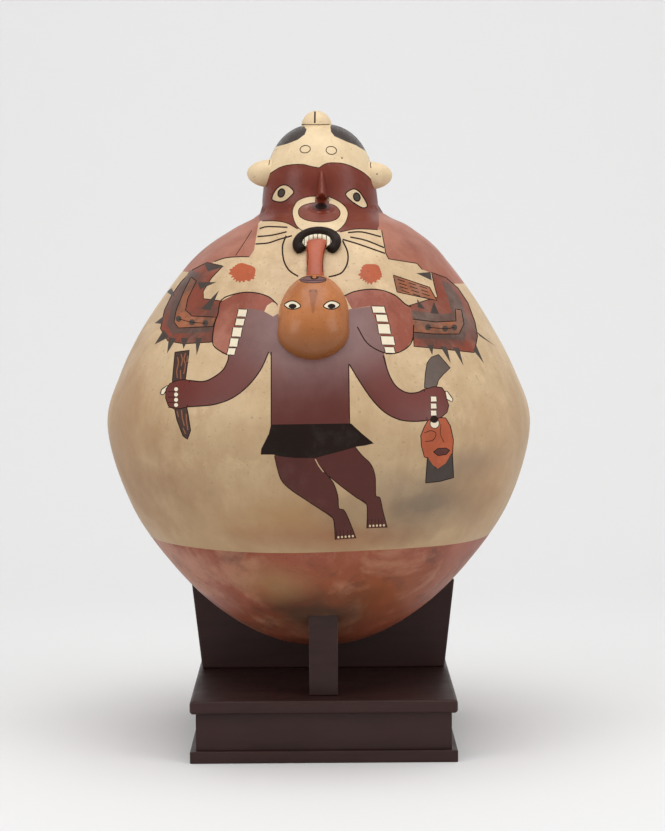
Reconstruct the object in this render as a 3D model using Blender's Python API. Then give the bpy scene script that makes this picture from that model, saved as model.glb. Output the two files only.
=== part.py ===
"""Effigy jar in the ancient Nasca manner, with its dark wooden display stand.

Metres, +Z up. The figure on the jar faces -Y and +X is on the viewer's right.
The origin is the centre of the stand's underside.
"""
import math

import bmesh
import bpy
import numpy as np
from mathutils import Matrix, Vector

# Space left between two pieces that touch
CLEARANCE = 0.0003

# Stand: foot board, riser and top board, one on the other
STAND_WIDTH = 0.226
STAND_DEPTH = 0.236
FOOT_BOARD_THICKNESS = 0.010
FOOT_BOARD_ROUNDING = 0.0008
RISER_HEIGHT = 0.0309
RISER_INSET = 0.005
TOP_BOARD_THICKNESS = 0.0115
TOP_BOARD_ROUNDING = 0.0028

# Cradle: a shaped panel behind the jar's middle and a post in front of it
PANEL_FRONT_Y = 0.030
PANEL_THICKNESS = 0.018
PANEL_FOOT_WIDTH = 0.2188
PANEL_TIP_WIDTH = 0.2370
PANEL_HEIGHT = 0.080
PANEL_EDGE_ROUNDING = 0.0012
POST_FRONT_Y = -0.098
POST_WIDTH = 0.0245
POST_THICKNESS = 0.018
POST_EDGE_ROUNDING = 0.0008
POST_BLANK_HEIGHT = 0.080

# Jar
JAR_HEIGHT = 0.4595
BELLY_RADIUS = 0.1858
WALL = 0.0065
JAR_ABOVE_TOP_BOARD = 0.0282
JAR_X = -0.0025

# Mouth of the jar, a short round collar on the back of the head
MOUTH_RADIUS = 0.023
MOUTH_TILT = math.radians(36)
COLLAR_WALL = 0.006
COLLAR_STANDS_OUT = 0.005
BORE_REACH = 0.030

# Facets
RING_COUNT = 40
SPOKE_COUNT = 54
CAVITY_RINGS = 22
CAVITY_SPOKES = 28
COLLAR_SPOKES = 24
TUBE_SIDES = 10

# Half outline of the jar from its foot to its crown: share of the belly's radius,
# share of the jar's height
OUTLINE = [
    (0.000, 0.0000), (0.242, 0.0180), (0.484, 0.0744), (0.702, 0.1613), (0.896, 0.2779),
    (1.000, 0.4230), (0.931, 0.5288), (0.778, 0.6440), (0.581, 0.7497), (0.420, 0.8007),
    (0.291, 0.8292), (0.269, 0.8662), (0.256, 0.9075), (0.200, 0.9602), (0.115, 0.9904),
    (0.000, 1.0000),
]

# Heights, as shares of the jar's, between which its surface is measured level from its axis:
# from the belly to the middle of the head. Beyond them it is measured from the axis at that
# height, in all directions.
BELLY_SHARE = max(OUTLINE)[1]
UPPER_POLE = 0.878

# A hand-built jar isn't quite true: its middle drifts sideways, in hundredths of its height
DRIFT_HEIGHTS = [0, 30, 60, 74, 81, 85, 100]
DRIFTS = [0.00, 0.11, -0.26, 0.09, 0.98, 0.41, 0.37]

# Closeness of the rings by share of height: fine from the neck up
RING_SHARES = [0.00, 0.62, 0.70, 0.75, 0.77, 0.86, 0.88, 1.00]
RING_DENSITIES = [1.0, 1.0, 1.8, 1.8, 4.2, 4.2, 2.0, 1.6]


def share(percent):
    """A length in hundredths of the jar's height, the carver's unit for the figure."""
    return JAR_HEIGHT * percent / 100


def smooth_outline(steps=12):
    """Smooth curve through OUTLINE, as radii and heights above the jar's foot."""
    first = (-OUTLINE[1][0], OUTLINE[1][1])
    last = (-OUTLINE[-2][0], OUTLINE[-2][1])
    points = np.array([first, *OUTLINE, last]) * (BELLY_RADIUS, JAR_HEIGHT)
    curve = []
    for before, start, end, after in zip(points, points[1:], points[2:], points[3:]):
        for t in np.arange(steps) / steps:
            curve.append(0.5 * (2 * start + (end - before) * t
                                + (2 * before - 5 * start + 4 * end - after) * t ** 2
                                + (3 * start - before - 3 * end + after) * t ** 3))
    curve.append(points[-2])
    radii, heights = np.array(curve).T
    return np.maximum(radii, 0), np.maximum.accumulate(heights)


def offset_outline(radii, heights, distance):
    """The outline moved outwards by a distance, or inwards where it is negative."""
    along_r = np.gradient(radii)
    along_z = np.gradient(heights)
    length = np.hypot(along_r, along_z)
    moved_r = radii + distance * along_z / length
    moved_z = heights - distance * along_r / length
    moved_r[[0, -1]] = 0
    return np.maximum(moved_r, 0), np.maximum.accumulate(moved_z)


def spread_rings(radii, heights, count):
    """Points along the outline, closer together where RING_DENSITIES asks for it."""
    lengths = np.hypot(np.diff(radii), np.diff(heights))
    middles = (heights[1:] + heights[:-1]) / 2 / JAR_HEIGHT
    travel = np.concatenate([[0], np.cumsum(lengths * np.interp(middles, RING_SHARES, RING_DENSITIES))])
    wanted = np.linspace(0, travel[-1], count)
    return np.interp(wanted, travel, radii), np.interp(wanted, travel, heights)


def spread_spokes(count):
    """Angles round the axis from the front, closer together at the figure."""
    angles = np.linspace(-math.pi, math.pi, 721)
    density = 1 + 1.2 * np.exp(-(angles / math.radians(35)) ** 2)
    travel = np.concatenate([[0], np.cumsum((density[1:] + density[:-1]) / 2)])
    return np.interp(np.arange(count) / count * travel[-1], travel, angles)


class Lobe:
    """A rounded lump: an ellipsoid that may lean back with the shoulder it sits on."""

    def __init__(self, centre, half_sizes, lean=0.0):
        self.centre = np.array(centre)
        self.half_sizes = np.array(half_sizes)
        tilt = math.radians(lean)
        self.axes = np.array([[1, 0, 0],
                              [0, math.cos(tilt), -math.sin(tilt)],
                              [0, math.sin(tilt), math.cos(tilt)]])

    def reach(self, origins, directions, inset=0.0):
        """How far along each ray the lobe's far side is, or a negative number for a miss."""
        sizes = self.half_sizes - inset
        start = (origins - self.centre) @ self.axes.T / sizes
        step = directions @ self.axes.T / sizes
        step_squared = (step * step).sum(axis=-1)
        across = (start * step).sum(axis=-1)
        under_root = across ** 2 - step_squared * ((start * start).sum(axis=-1) - 1)
        far = (np.sqrt(np.maximum(under_root, 0)) - across) / step_squared
        return np.where(under_root > 0, far, -1.0)


def blend_over(first, second, softness):
    """The larger of two distances, with a fillet where they meet."""
    closeness = np.maximum(softness - np.abs(first - second), 0) / softness
    return np.maximum(first, second) + closeness ** 2 * softness / 4


def body_radius(height_share):
    """The jar's radius at a share of its height."""
    radii, heights = smooth_outline()
    return float(np.interp(height_share * JAR_HEIGHT, heights, radii))


def on_front(x, height_share, proud):
    """A point in front of the jar's axis, so far proud of its turned surface."""
    return (x, -body_radius(height_share) - proud, height_share * JAR_HEIGHT)


def snout(x, z):
    """How far the clay is pushed out between the nose and the mouth."""
    across = (x - share(-0.5)) / share(5.2)
    up = (z - share(82.0)) / share(2.4)
    return share(2.5) * np.exp(-across ** 2 - up ** 2)


def chin_hollow(x, z):
    """How far the clay is pressed in below the mouth, at both sides of the tongue."""
    across = (x - share(-0.7)) / share(6.0)
    up = (z - share(74.6)) / share(2.9)
    return share(1.5) * np.exp(-across ** 4 - up ** 4)


def modelled(origins, directions, distances):
    """The turned surface's distances with the figure's snout and chin worked into them."""
    x = origins[..., 0] + distances * directions[..., 0]
    z = origins[..., 2] + distances * directions[..., 2]
    change = snout(x, z) - chin_hollow(x, z)
    return distances + np.where(directions[..., 1] < 0, change, 0)


def skin_point(x, z, proud):
    """A point in front of the figure's skin by a distance, seen from the front at x and z."""
    origin = np.array([0, 0, z])
    radius = body_radius(z / JAR_HEIGHT)
    angle = 0.0
    for _ in range(8):
        direction = np.array([math.sin(angle), -math.cos(angle), 0])
        distance = float(modelled(origin, direction, radius))
        angle = math.asin(x / distance)
    return origin + (distance + proud) * direction


def foot_of_jar():
    """Height of the jar's lowest point above the floor."""
    return top_board_top() + JAR_ABOVE_TOP_BOARD


def drift(heights):
    """Sideways place of the jar's middle at heights above its foot."""
    return JAR_X + share(np.interp(100 * heights / JAR_HEIGHT, DRIFT_HEIGHTS, DRIFTS))


def in_place(points):
    """Points given from the jar's foot, moved to where the jar stands."""
    placed = np.array(points, dtype=float)
    placed[..., 0] += drift(placed[..., 2])
    placed[..., 2] += foot_of_jar()
    return placed


def jar_points(radii, heights, spokes, figure=False):
    """A grid of points, ring by ring, on the turned surface, or on the figure's modelled one."""
    around = np.stack([np.sin(spokes), -np.cos(spokes), np.zeros(len(spokes))], axis=-1)
    points = radii[:, None, None] * around
    points[..., 2] = heights[:, None]
    if figure:
        origins = np.zeros_like(points)
        origins[..., 2] = np.clip(heights, BELLY_SHARE * JAR_HEIGHT, UPPER_POLE * JAR_HEIGHT)[:, None]
        distances = np.linalg.norm(points - origins, axis=-1)
        directions = (points - origins) / distances[..., None]
        distances = modelled(origins, directions, distances)
        points = origins + distances[..., None] * directions
    return in_place(points)


def closed_grid(name, points):
    """A closed mesh over a grid of rings whose first and last ring are single points."""
    mesh = bpy.data.meshes.new(name)
    shape = bmesh.new()
    lowest = shape.verts.new(points[0].mean(axis=0))
    highest = shape.verts.new(points[-1].mean(axis=0))
    rings = [[shape.verts.new(point) for point in ring] for ring in points[1:-1]]
    count = len(rings[0])
    for lower, upper in zip(rings, rings[1:]):
        for i in range(count):
            j = (i + 1) % count
            shape.faces.new((lower[i], lower[j], upper[j], upper[i]))
    for i in range(count):
        j = (i + 1) % count
        shape.faces.new((lowest, rings[0][j], rings[0][i]))
        shape.faces.new((highest, rings[-1][i], rings[-1][j]))
    bmesh.ops.triangulate(shape, faces=shape.faces[:])
    shape.to_mesh(mesh)
    shape.free()
    return mesh


def turned_mesh(name, section, spokes):
    """A closed mesh spun about Z from a section that starts and ends on the axis."""
    mesh = bpy.data.meshes.new(name)
    shape = bmesh.new()
    verts = [shape.verts.new((radius, 0, height)) for radius, height in section]
    edges = [shape.edges.new(pair) for pair in zip(verts, verts[1:])]
    bmesh.ops.spin(shape, geom=verts + edges, axis=(0, 0, 1), cent=(0, 0, 0),
                   angle=math.tau, steps=spokes, use_merge=True)
    bmesh.ops.remove_doubles(shape, verts=shape.verts[:], dist=1e-6)
    bmesh.ops.recalc_face_normals(shape, faces=shape.faces[:])
    shape.to_mesh(mesh)
    shape.free()
    return mesh


def make_material(name, colour, roughness):
    material = bpy.data.materials.new(name)
    material.use_nodes = True
    shader = material.node_tree.nodes["Principled BSDF"]
    shader.inputs["Base Color"].default_value = (*colour, 1)
    shader.inputs["Roughness"].default_value = roughness
    shader.inputs["Metallic"].default_value = 0.0
    return material


def add_object(name, mesh, material=None):
    piece = bpy.data.objects.new(name, mesh)
    bpy.context.collection.objects.link(piece)
    if material:
        mesh.materials.append(material)
    return piece


def hide_cutter(cutter):
    cutter.hide_render = True
    cutter.display_type = "WIRE"
    return cutter


def add_boolean(piece, cutter, operation):
    modifier = piece.modifiers.new(cutter.name, "BOOLEAN")
    modifier.operation = operation
    modifier.solver = "EXACT"
    modifier.object = cutter


def add_rounding(piece, width, segments):
    modifier = piece.modifiers.new("rounding", "BEVEL")
    modifier.width = width
    modifier.segments = segments
    modifier.limit_method = "ANGLE"
    modifier.angle_limit = math.radians(40)


def box_mesh(name, low, high):
    mesh = bpy.data.meshes.new(name)
    shape = bmesh.new()
    size = Vector(high) - Vector(low)
    middle = (Vector(high) + Vector(low)) / 2
    bmesh.ops.create_cube(shape, size=1, matrix=Matrix.Translation(middle) @ Matrix.Diagonal((*size, 1)))
    shape.to_mesh(mesh)
    shape.free()
    return mesh


def riser_bottom():
    return FOOT_BOARD_THICKNESS + CLEARANCE


def top_board_bottom():
    return riser_bottom() + RISER_HEIGHT + CLEARANCE


def top_board_top():
    return top_board_bottom() + TOP_BOARD_THICKNESS


def make_board(name, material, bottom, thickness, inset, rounding):
    half_width = STAND_WIDTH / 2 - inset
    half_depth = STAND_DEPTH / 2 - inset
    mesh = box_mesh(name, (-half_width, -half_depth, bottom), (half_width, half_depth, bottom + thickness))
    board = add_object(name, mesh, material)
    if rounding:
        add_rounding(board, rounding, 3)
    return board


def make_stand(material):
    make_board("stand_foot_board", material, 0, FOOT_BOARD_THICKNESS, 0, FOOT_BOARD_ROUNDING)
    make_board("stand_riser", material, riser_bottom(), RISER_HEIGHT, RISER_INSET, 0)
    make_board("stand_top_board", material, top_board_bottom(), TOP_BOARD_THICKNESS, 0, TOP_BOARD_ROUNDING)


def make_seat_cutter():
    """The jar's lower half, grown by the clearance, which shapes what carries it."""
    radii, heights = spread_rings(*smooth_outline(), RING_COUNT)
    grown_r, grown_z = offset_outline(radii, heights, CLEARANCE)
    lower = heights <= heights[np.argmax(radii)]
    grown_r = np.append(grown_r[lower], 0)
    grown_z = np.append(grown_z[lower], grown_z[lower][-1])
    points = jar_points(grown_r, grown_z, spread_spokes(SPOKE_COUNT))
    return hide_cutter(add_object("seat_cutter", closed_grid("seat_cutter", points)))


def make_cradle_panel(material, seat_cutter):
    """A board that widens upwards, hollowed on top to the jar's underside."""
    bottom = top_board_top() + CLEARANCE
    mesh = bpy.data.meshes.new("cradle_panel")
    shape = bmesh.new()
    corners = [(-PANEL_FOOT_WIDTH / 2, bottom), (PANEL_FOOT_WIDTH / 2, bottom),
               (PANEL_TIP_WIDTH / 2, bottom + PANEL_HEIGHT), (-PANEL_TIP_WIDTH / 2, bottom + PANEL_HEIGHT)]
    front = shape.faces.new([shape.verts.new((x, PANEL_FRONT_Y, z)) for x, z in corners])
    pushed = bmesh.ops.extrude_face_region(shape, geom=[front])
    moved = [item for item in pushed["geom"] if isinstance(item, bmesh.types.BMVert)]
    bmesh.ops.translate(shape, vec=(0, PANEL_THICKNESS, 0), verts=moved)
    bmesh.ops.recalc_face_normals(shape, faces=shape.faces[:])
    shape.to_mesh(mesh)
    shape.free()
    panel = add_object("cradle_panel", mesh, material)
    add_rounding(panel, PANEL_EDGE_ROUNDING, 2)
    add_boolean(panel, seat_cutter, "DIFFERENCE")


def make_front_post(material, seat_cutter):
    """A square post whose top is cut to the jar's underside."""
    bottom = top_board_top() + CLEARANCE
    mesh = box_mesh("front_post", (-POST_WIDTH / 2, POST_FRONT_Y, bottom),
                    (POST_WIDTH / 2, POST_FRONT_Y + POST_THICKNESS, bottom + POST_BLANK_HEIGHT))
    post = add_object("front_post", mesh, material)
    add_rounding(post, POST_EDGE_ROUNDING, 2)
    add_boolean(post, seat_cutter, "DIFFERENCE")


def mouth_placement():
    """Turns a shape along +Z into one along the mouth's axis, from the middle of the head."""
    middle = Vector((JAR_X + share(DRIFTS[-1]), 0, foot_of_jar() + UPPER_POLE * JAR_HEIGHT))
    return Matrix.Translation(middle) @ Matrix.Rotation(MOUTH_TILT - math.pi / 2, 4, "X")


def make_collar():
    """The mouth's rim before it is bored: a plug with a rounded outer edge."""
    outer = MOUTH_RADIUS + COLLAR_WALL
    start = body_radius(UPPER_POLE) - 3 * WALL
    end = body_radius(UPPER_POLE) + COLLAR_STANDS_OUT
    bend = [math.radians(a) for a in range(0, 91, 30)]
    rim = [(outer - COLLAR_WALL / 2 * (1 - math.cos(a)), end - COLLAR_WALL / 2 * (1 - math.sin(a)))
           for a in bend]
    section = [(0, start), (outer, start), *rim, (0, end)]
    collar = add_object("collar", turned_mesh("collar", section, COLLAR_SPOKES))
    collar.matrix_world = mouth_placement()
    return hide_cutter(collar)


def make_bore():
    """The hole through the mouth, with its edge eased outwards."""
    end = body_radius(UPPER_POLE) + COLLAR_STANDS_OUT
    easing = COLLAR_WALL / 2
    section = [(0, BORE_REACH), (MOUTH_RADIUS, BORE_REACH), (MOUTH_RADIUS, end - easing),
               (MOUTH_RADIUS + easing / 3, end - easing / 3), (MOUTH_RADIUS + easing, end + CLEARANCE),
               (MOUTH_RADIUS + easing, end + 2 * easing), (0, end + 2 * easing)]
    bore = add_object("bore", turned_mesh("bore", section, COLLAR_SPOKES))
    bore.matrix_world = mouth_placement()
    return hide_cutter(bore)


def make_cavity():
    """The hollow inside, one wall thickness in from the jar's surface."""
    radii, heights = spread_rings(*offset_outline(*smooth_outline(), -WALL), CAVITY_RINGS)
    points = jar_points(radii, heights, spread_spokes(CAVITY_SPOKES), figure=True)
    return hide_cutter(add_object("cavity", closed_grid("cavity", points)))


def lump_mesh(name, middle, lobes, softness, rings, spokes, inset=0.0):
    """A closed mesh round lobes that blend into each other, seen from a point inside them."""
    rise = np.linspace(-math.pi / 2, math.pi / 2, rings)[:, None]
    turn = np.arange(spokes) / spokes * math.tau
    directions = np.stack([np.cos(rise) * np.sin(turn), -np.cos(rise) * np.cos(turn),
                           np.sin(rise) * np.ones(spokes)], axis=-1)
    origins = np.zeros_like(directions) + middle
    distances = lobes[0].reach(origins, directions, inset)
    for lobe in lobes[1:]:
        distances = blend_over(distances, lobe.reach(origins, directions, inset), softness)
    return closed_grid(name, in_place(origins + distances[..., None] * directions))


def tube_mesh(name, path, half_sizes):
    """A closed tube along a path across the front, with a half width and a half depth at each point."""
    path = np.array(path)
    along = np.gradient(path, axis=0)
    along /= np.linalg.norm(along, axis=1, keepdims=True)
    outwards = path * (1, 1, 0)
    outwards -= (outwards * along).sum(axis=1, keepdims=True) * along
    outwards /= np.linalg.norm(outwards, axis=1, keepdims=True)
    sideways = np.cross(outwards, along)
    turn = np.arange(TUBE_SIDES) / TUBE_SIDES * math.tau
    widths, depths = np.array(half_sizes).T[:, :, None, None]
    rings = (path[:, None] + widths * np.cos(turn)[:, None] * sideways[:, None]
             + depths * np.sin(turn)[:, None] * outwards[:, None])
    thickness = np.minimum(widths, depths).ravel()
    first = np.repeat((path[:1] - along[:1] * thickness[0] / 2)[:, None], TUBE_SIDES, axis=1)
    last = np.repeat((path[-1:] + along[-1:] * thickness[-1] / 2)[:, None], TUBE_SIDES, axis=1)
    return closed_grid(name, in_place(np.concatenate([first, rings, last])))


def make_lump(name, mesh):
    """A hidden guide that is united with the jar or cut out of it."""
    return hide_cutter(add_object(name, mesh))


def make_ear(name, side):
    """The rounded end of the head band at one side of the head."""
    height = 90.25 - 0.25 * side
    end = Lobe((side * share(9.3), share(-2.2), share(height)), (share(4.5), share(2.3), share(2.65)))
    mesh = lump_mesh(name, end.centre, [end], 1, 13, 18)
    return make_lump(name, mesh)


def make_knob():
    middle = (share(-0.5), share(-1.6), share(99.3))
    knob = Lobe(middle, (share(2.9), share(2.4), share(3.0)))
    return make_lump("crown_knob", lump_mesh("crown_knob", middle, [knob], 1, 11, 16))


def make_nose():
    """A ridge that widens and rises from the brow to its tip."""
    drops = np.linspace(0, 1, 5)
    path = [skin_point(share(0.35), share(90.4 - 4.6 * drop), share(-0.3)) for drop in drops]
    sizes = [(share(0.45 + 0.65 * drop), share(0.6 + 2.2 * drop)) for drop in drops]
    return make_lump("nose", tube_mesh("nose", path, sizes))


def make_lips():
    """The arch of the open mouth, both ends turned down beside the tongue."""
    path = []
    for angle in np.radians(np.linspace(218, -38, 15)):
        x = share(-0.7 + 3.4 * math.cos(angle))
        z = share(77.4 + 2.0 * math.sin(angle))
        path.append(skin_point(x, z, share(0.5)))
    return make_lump("lips", tube_mesh("lips", path, [(share(1.0), share(1.25))] * len(path)))


def make_tongue():
    """A strap from the mouth down to the carried head's lips."""
    path = [skin_point(share(-0.75), share(77.4), share(0.2)), skin_point(share(-0.7), share(75.4), share(0.9)),
            skin_point(share(-0.6), share(73.4), share(1.0)), skin_point(share(-0.55), share(71.2), share(0.3))]
    sizes = [(share(2.0), share(0.9)), (share(1.6), share(0.9)), (share(1.5), share(0.9)), (share(1.6), share(0.9))]
    return make_lump("tongue", tube_mesh("tongue", path, sizes))


def make_carried_head(name, inset=0.0):
    """The head held upside down below the mouth: chin up, skull down, facing forwards."""
    face = Lobe(on_front(share(-0.68), 0.6405, share(-0.4)), (share(6.3), share(5.6), share(8.4)), 32)
    skull = Lobe(on_front(share(-0.68), 0.6140, share(-0.5)), (share(6.35), share(5.2), share(5.1)), 32)
    lobes = [face, skull]
    if not inset:
        nose = Lobe(on_front(share(-0.66), 0.6750, share(3.6)), (share(1.0), share(1.4), share(1.5)), 45)
        mouth = Lobe(on_front(share(-0.60), 0.7040, share(1.9)), (share(2.0), share(1.0), share(0.7)), 45)
        lobes += [nose, mouth]
    return make_lump(name, lump_mesh(name, face.centre, lobes, share(0.8), 20, 24, inset))


def make_jar(material):
    radii, heights = spread_rings(*smooth_outline(), RING_COUNT)
    points = jar_points(radii, heights, spread_spokes(SPOKE_COUNT), figure=True)
    jar = add_object("effigy_jar", closed_grid("effigy_jar", points), material)
    jar.data.shade_smooth()
    jar.data.set_sharp_from_angle(angle=math.radians(50))
    for added in (make_ear("left_ear", -1), make_ear("right_ear", 1), make_knob(), make_nose(),
                  make_lips(), make_tongue(), make_carried_head("carried_head"), make_collar()):
        add_boolean(jar, added, "UNION")
    for removed in (make_cavity(), make_carried_head("carried_head_hollow", WALL), make_bore()):
        add_boolean(jar, removed, "DIFFERENCE")


def build():
    for old in list(bpy.data.objects):
        bpy.data.objects.remove(old, do_unlink=True)
    ceramic = make_material("slip_painted_ceramic", (0.52, 0.36, 0.22), 0.42)
    wood = make_material("dark_stained_wood", (0.042, 0.021, 0.019), 0.48)
    seat_cutter = make_seat_cutter()
    make_stand(wood)
    make_cradle_panel(wood, seat_cutter)
    make_front_post(wood, seat_cutter)
    make_jar(ceramic)


build()
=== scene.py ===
"""Looks of the effigy jar and its wooden stand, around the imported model.

The figure on the jar is painted. Its shapes are outlined in pixels of the camera's view, and are
carried from there onto the jar's surface, whose triangles follow the edges of the paint.
"""
import math

import bmesh
import bpy
import numpy as np
from mathutils import Matrix, Vector
from mathutils.bvhtree import BVHTree
from mathutils.geometry import delaunay_2d_cdt


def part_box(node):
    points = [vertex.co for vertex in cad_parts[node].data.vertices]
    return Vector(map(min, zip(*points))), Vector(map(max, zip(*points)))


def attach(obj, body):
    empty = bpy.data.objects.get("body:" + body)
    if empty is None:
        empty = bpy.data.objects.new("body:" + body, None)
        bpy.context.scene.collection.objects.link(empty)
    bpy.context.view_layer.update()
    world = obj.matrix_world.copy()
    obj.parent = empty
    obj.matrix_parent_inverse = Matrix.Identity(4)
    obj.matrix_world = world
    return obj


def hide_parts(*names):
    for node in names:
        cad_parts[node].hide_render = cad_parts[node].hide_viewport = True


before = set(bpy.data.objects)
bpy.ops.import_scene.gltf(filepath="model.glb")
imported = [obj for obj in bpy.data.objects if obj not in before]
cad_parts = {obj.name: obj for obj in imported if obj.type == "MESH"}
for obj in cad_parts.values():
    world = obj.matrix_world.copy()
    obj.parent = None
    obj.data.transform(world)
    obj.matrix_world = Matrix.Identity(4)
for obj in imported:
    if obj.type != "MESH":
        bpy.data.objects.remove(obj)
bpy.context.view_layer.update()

# Camera: its place is in metres, and its focal length is in pixels of the view
VIEW_WIDTH = 665
VIEW_HEIGHT = 831
FOCAL_PIXELS = 2308
SENSOR_MM = 36
EYE = (-0.001, -2.033, 0.4425)
PITCH = math.radians(4.45)
YAW = math.radians(0.292)
ROLL = math.radians(-0.33)

# The jar's form, as in the model
JAR_HEIGHT = 0.4595
BELLY_RADIUS = 0.1858
WALL = 0.0065
JAR_X = -0.0025
JAR_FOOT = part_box("effigy_jar")[0].z
MOUTH_RADIUS = 0.023
MOUTH_TILT = math.radians(36)
COLLAR_WALL = 0.006
COLLAR_STANDS_OUT = 0.005
BORE_REACH = 0.030
OUTLINE = [
    (0.000, 0.0000), (0.242, 0.0180), (0.484, 0.0744), (0.702, 0.1613), (0.896, 0.2779),
    (1.000, 0.4230), (0.931, 0.5288), (0.778, 0.6440), (0.581, 0.7497), (0.420, 0.8007),
    (0.291, 0.8292), (0.269, 0.8662), (0.256, 0.9075), (0.200, 0.9602), (0.115, 0.9904),
    (0.000, 1.0000),
]
BELLY_SHARE = max(OUTLINE)[1]
UPPER_POLE = 0.878
# Its middle drifts sideways, in hundredths of its height
DRIFT_HEIGHTS = [0, 30, 60, 74, 81, 85, 100]
DRIFTS = [0.00, 0.11, -0.26, 0.09, 0.98, 0.41, 0.37]

# Fineness of the jar's surface: spacing of its points at the figure, behind it and on the head
FRONT_SPACING = 0.0032
BACK_SPACING = 0.0070
HEAD_SPACING = 0.0020
LUMP_SPACING = 0.0016
PAINT_STEP_PIXELS = 4.0
# Shares of the height up to which the foot's spacing holds, and from which the head's does
FOOT_ROWS_END = 0.14
HEAD_ROWS_START = 0.73
# Angle from the front where the figure's spacing gives way to the one behind, and how gradually
FIGURE_ANGLE = math.radians(78)
FIGURE_EASING = math.radians(8)
SMALLEST_RING = 0.006
# Domain units are millimetres, which suit the triangulation's tolerance
UNIT = 1000
TOLERANCE = 0.02

# Heights above the floor where zones of slip end, how far the shoulder's edge tilts, and how
# far the fired ground's edge ripples
GROUND_TOP = 0.1825
GROUND_RIPPLE = 0.0012
SHOULDER_LOW = 0.4065
SHOULDER_TILT = 0.006
SHOULDER_HIGH = 0.4700
FACE_LOW = 0.4622
BAND_LOW = 0.4925
HAIR_LOW = 0.5145
BAND_HIGH = 0.5150

# Paints: sRGB colour, roughness, how mottled
PAINTS = {
    "cream_slip": ((205, 178, 141), 0.42, 1.0),
    "head_cream_slip": ((220, 196, 158), 0.42, 0.7),
    "fired_red_ground": ((148, 78, 54), 0.42, 1.0),
    "shoulder_red_slip": ((158, 92, 70), 0.40, 1.0),
    "face_red_slip": ((112, 42, 24), 0.30, 0.8),
    "arm_red_slip": ((144, 72, 52), 0.36, 1.0),
    "torso_plum_slip": ((96, 54, 50), 0.32, 1.0),
    "leg_red_slip": ((80, 24, 13), 0.34, 0.8),
    "belt_black_slip": ((34, 22, 17), 0.50, 0.8),
    "line_black_slip": ((38, 22, 15), 0.70, 0.2),
    "hair_slip": ((58, 48, 44), 0.26, 0.4),
    "nose_purple_slip": ((124, 66, 54), 0.30, 0.6),
    "wing_rust_slip": ((132, 58, 34), 0.46, 1.0),
    "wing_plum_slip": ((92, 62, 52), 0.46, 1.0),
    "wing_orange_slip": ((158, 92, 56), 0.46, 1.0),
    "spike_grey_slip": ((62, 50, 43), 0.50, 0.8),
    "blade_grey_slip": ((92, 78, 70), 0.45, 0.8),
    "staff_brown_slip": ((62, 36, 26), 0.42, 0.4),
    "staff_streak_slip": ((140, 84, 52), 0.42, 0.4),
    "spot_orange_slip": ((176, 84, 46), 0.46, 1.0),
    "tongue_red_slip": ((170, 82, 52), 0.34, 0.8),
    "carried_skin_slip": ((176, 108, 58), 0.28, 1.0),
    "carried_shade_slip": ((112, 66, 38), 0.34, 0.5),
    "carried_nose_slip": ((150, 88, 46), 0.32, 0.8),
    "carried_lip_slip": ((112, 74, 74), 0.36, 0.3),
    "white_slip": ((226, 214, 188), 0.40, 0.3),
    "bare_clay": ((150, 104, 74), 0.75, 0.6),
}
PAINT_NAMES = list(PAINTS)


def share(percent):
    """A length in hundredths of the jar's height."""
    return JAR_HEIGHT * percent / 100


def shares(*percents):
    """Lengths in hundredths of the jar's height."""
    return tuple(share(percent) for percent in percents)


def curve_between(points, steps):
    """A smooth curve from the second point to the last but one, which isn't in it."""
    curve = []
    for before, start, end, after in zip(points, points[1:], points[2:], points[3:]):
        for t in np.arange(steps) / steps:
            curve.append(0.5 * (2 * start + (end - before) * t
                                + (2 * before - 5 * start + 4 * end - after) * t ** 2
                                + (3 * start - before - 3 * end + after) * t ** 3))
    return curve


def smooth_outline(steps=40):
    """Smooth curve through OUTLINE, as radii and heights above the jar's foot."""
    first = (-OUTLINE[1][0], OUTLINE[1][1])
    last = (-OUTLINE[-2][0], OUTLINE[-2][1])
    points = np.array([first, *OUTLINE, last]) * (BELLY_RADIUS, JAR_HEIGHT)
    curve = curve_between(points, steps)
    curve.append(points[-2])
    radii, heights = np.array(curve).T
    return np.maximum(radii, 0), np.maximum.accumulate(heights)


OUTLINE_RADII, OUTLINE_HEIGHTS = smooth_outline()


def offset_outline(distance):
    """The outline moved outwards by a distance, or inwards where it is negative."""
    along_r = np.gradient(OUTLINE_RADII)
    along_z = np.gradient(OUTLINE_HEIGHTS)
    length = np.hypot(along_r, along_z)
    moved_r = OUTLINE_RADII + distance * along_z / length
    moved_z = OUTLINE_HEIGHTS - distance * along_r / length
    moved_r[[0, -1]] = 0
    return np.maximum(moved_r, 0), np.maximum.accumulate(moved_z)


def body_radius(height_share):
    return float(np.interp(height_share * JAR_HEIGHT, OUTLINE_HEIGHTS, OUTLINE_RADII))


def snout(x, z):
    across = (x - share(-0.5)) / share(5.2)
    up = (z - share(82.0)) / share(2.4)
    return share(2.5) * np.exp(-across ** 2 - up ** 2)


def chin_hollow(x, z):
    across = (x - share(-0.7)) / share(6.0)
    up = (z - share(74.6)) / share(2.9)
    return share(1.5) * np.exp(-across ** 4 - up ** 4)


def modelled(origins, directions, distances):
    """The turned surface's distances with the figure's snout and chin worked into them."""
    x = origins[..., 0] + distances * directions[..., 0]
    z = origins[..., 2] + distances * directions[..., 2]
    change = snout(x, z) - chin_hollow(x, z)
    return distances + np.where(directions[..., 1] < 0, change, 0)


def middle_at(heights):
    """Where the jar's middle is, sideways, at heights above its foot."""
    return JAR_X + share(np.interp(100 * heights / JAR_HEIGHT, DRIFT_HEIGHTS, DRIFTS))


def in_place(points):
    """Points given from the jar's foot, moved to where the jar stands."""
    placed = np.array(points, dtype=float)
    placed[..., 0] += middle_at(placed[..., 2])
    placed[..., 2] += JAR_FOOT
    return placed


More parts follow.
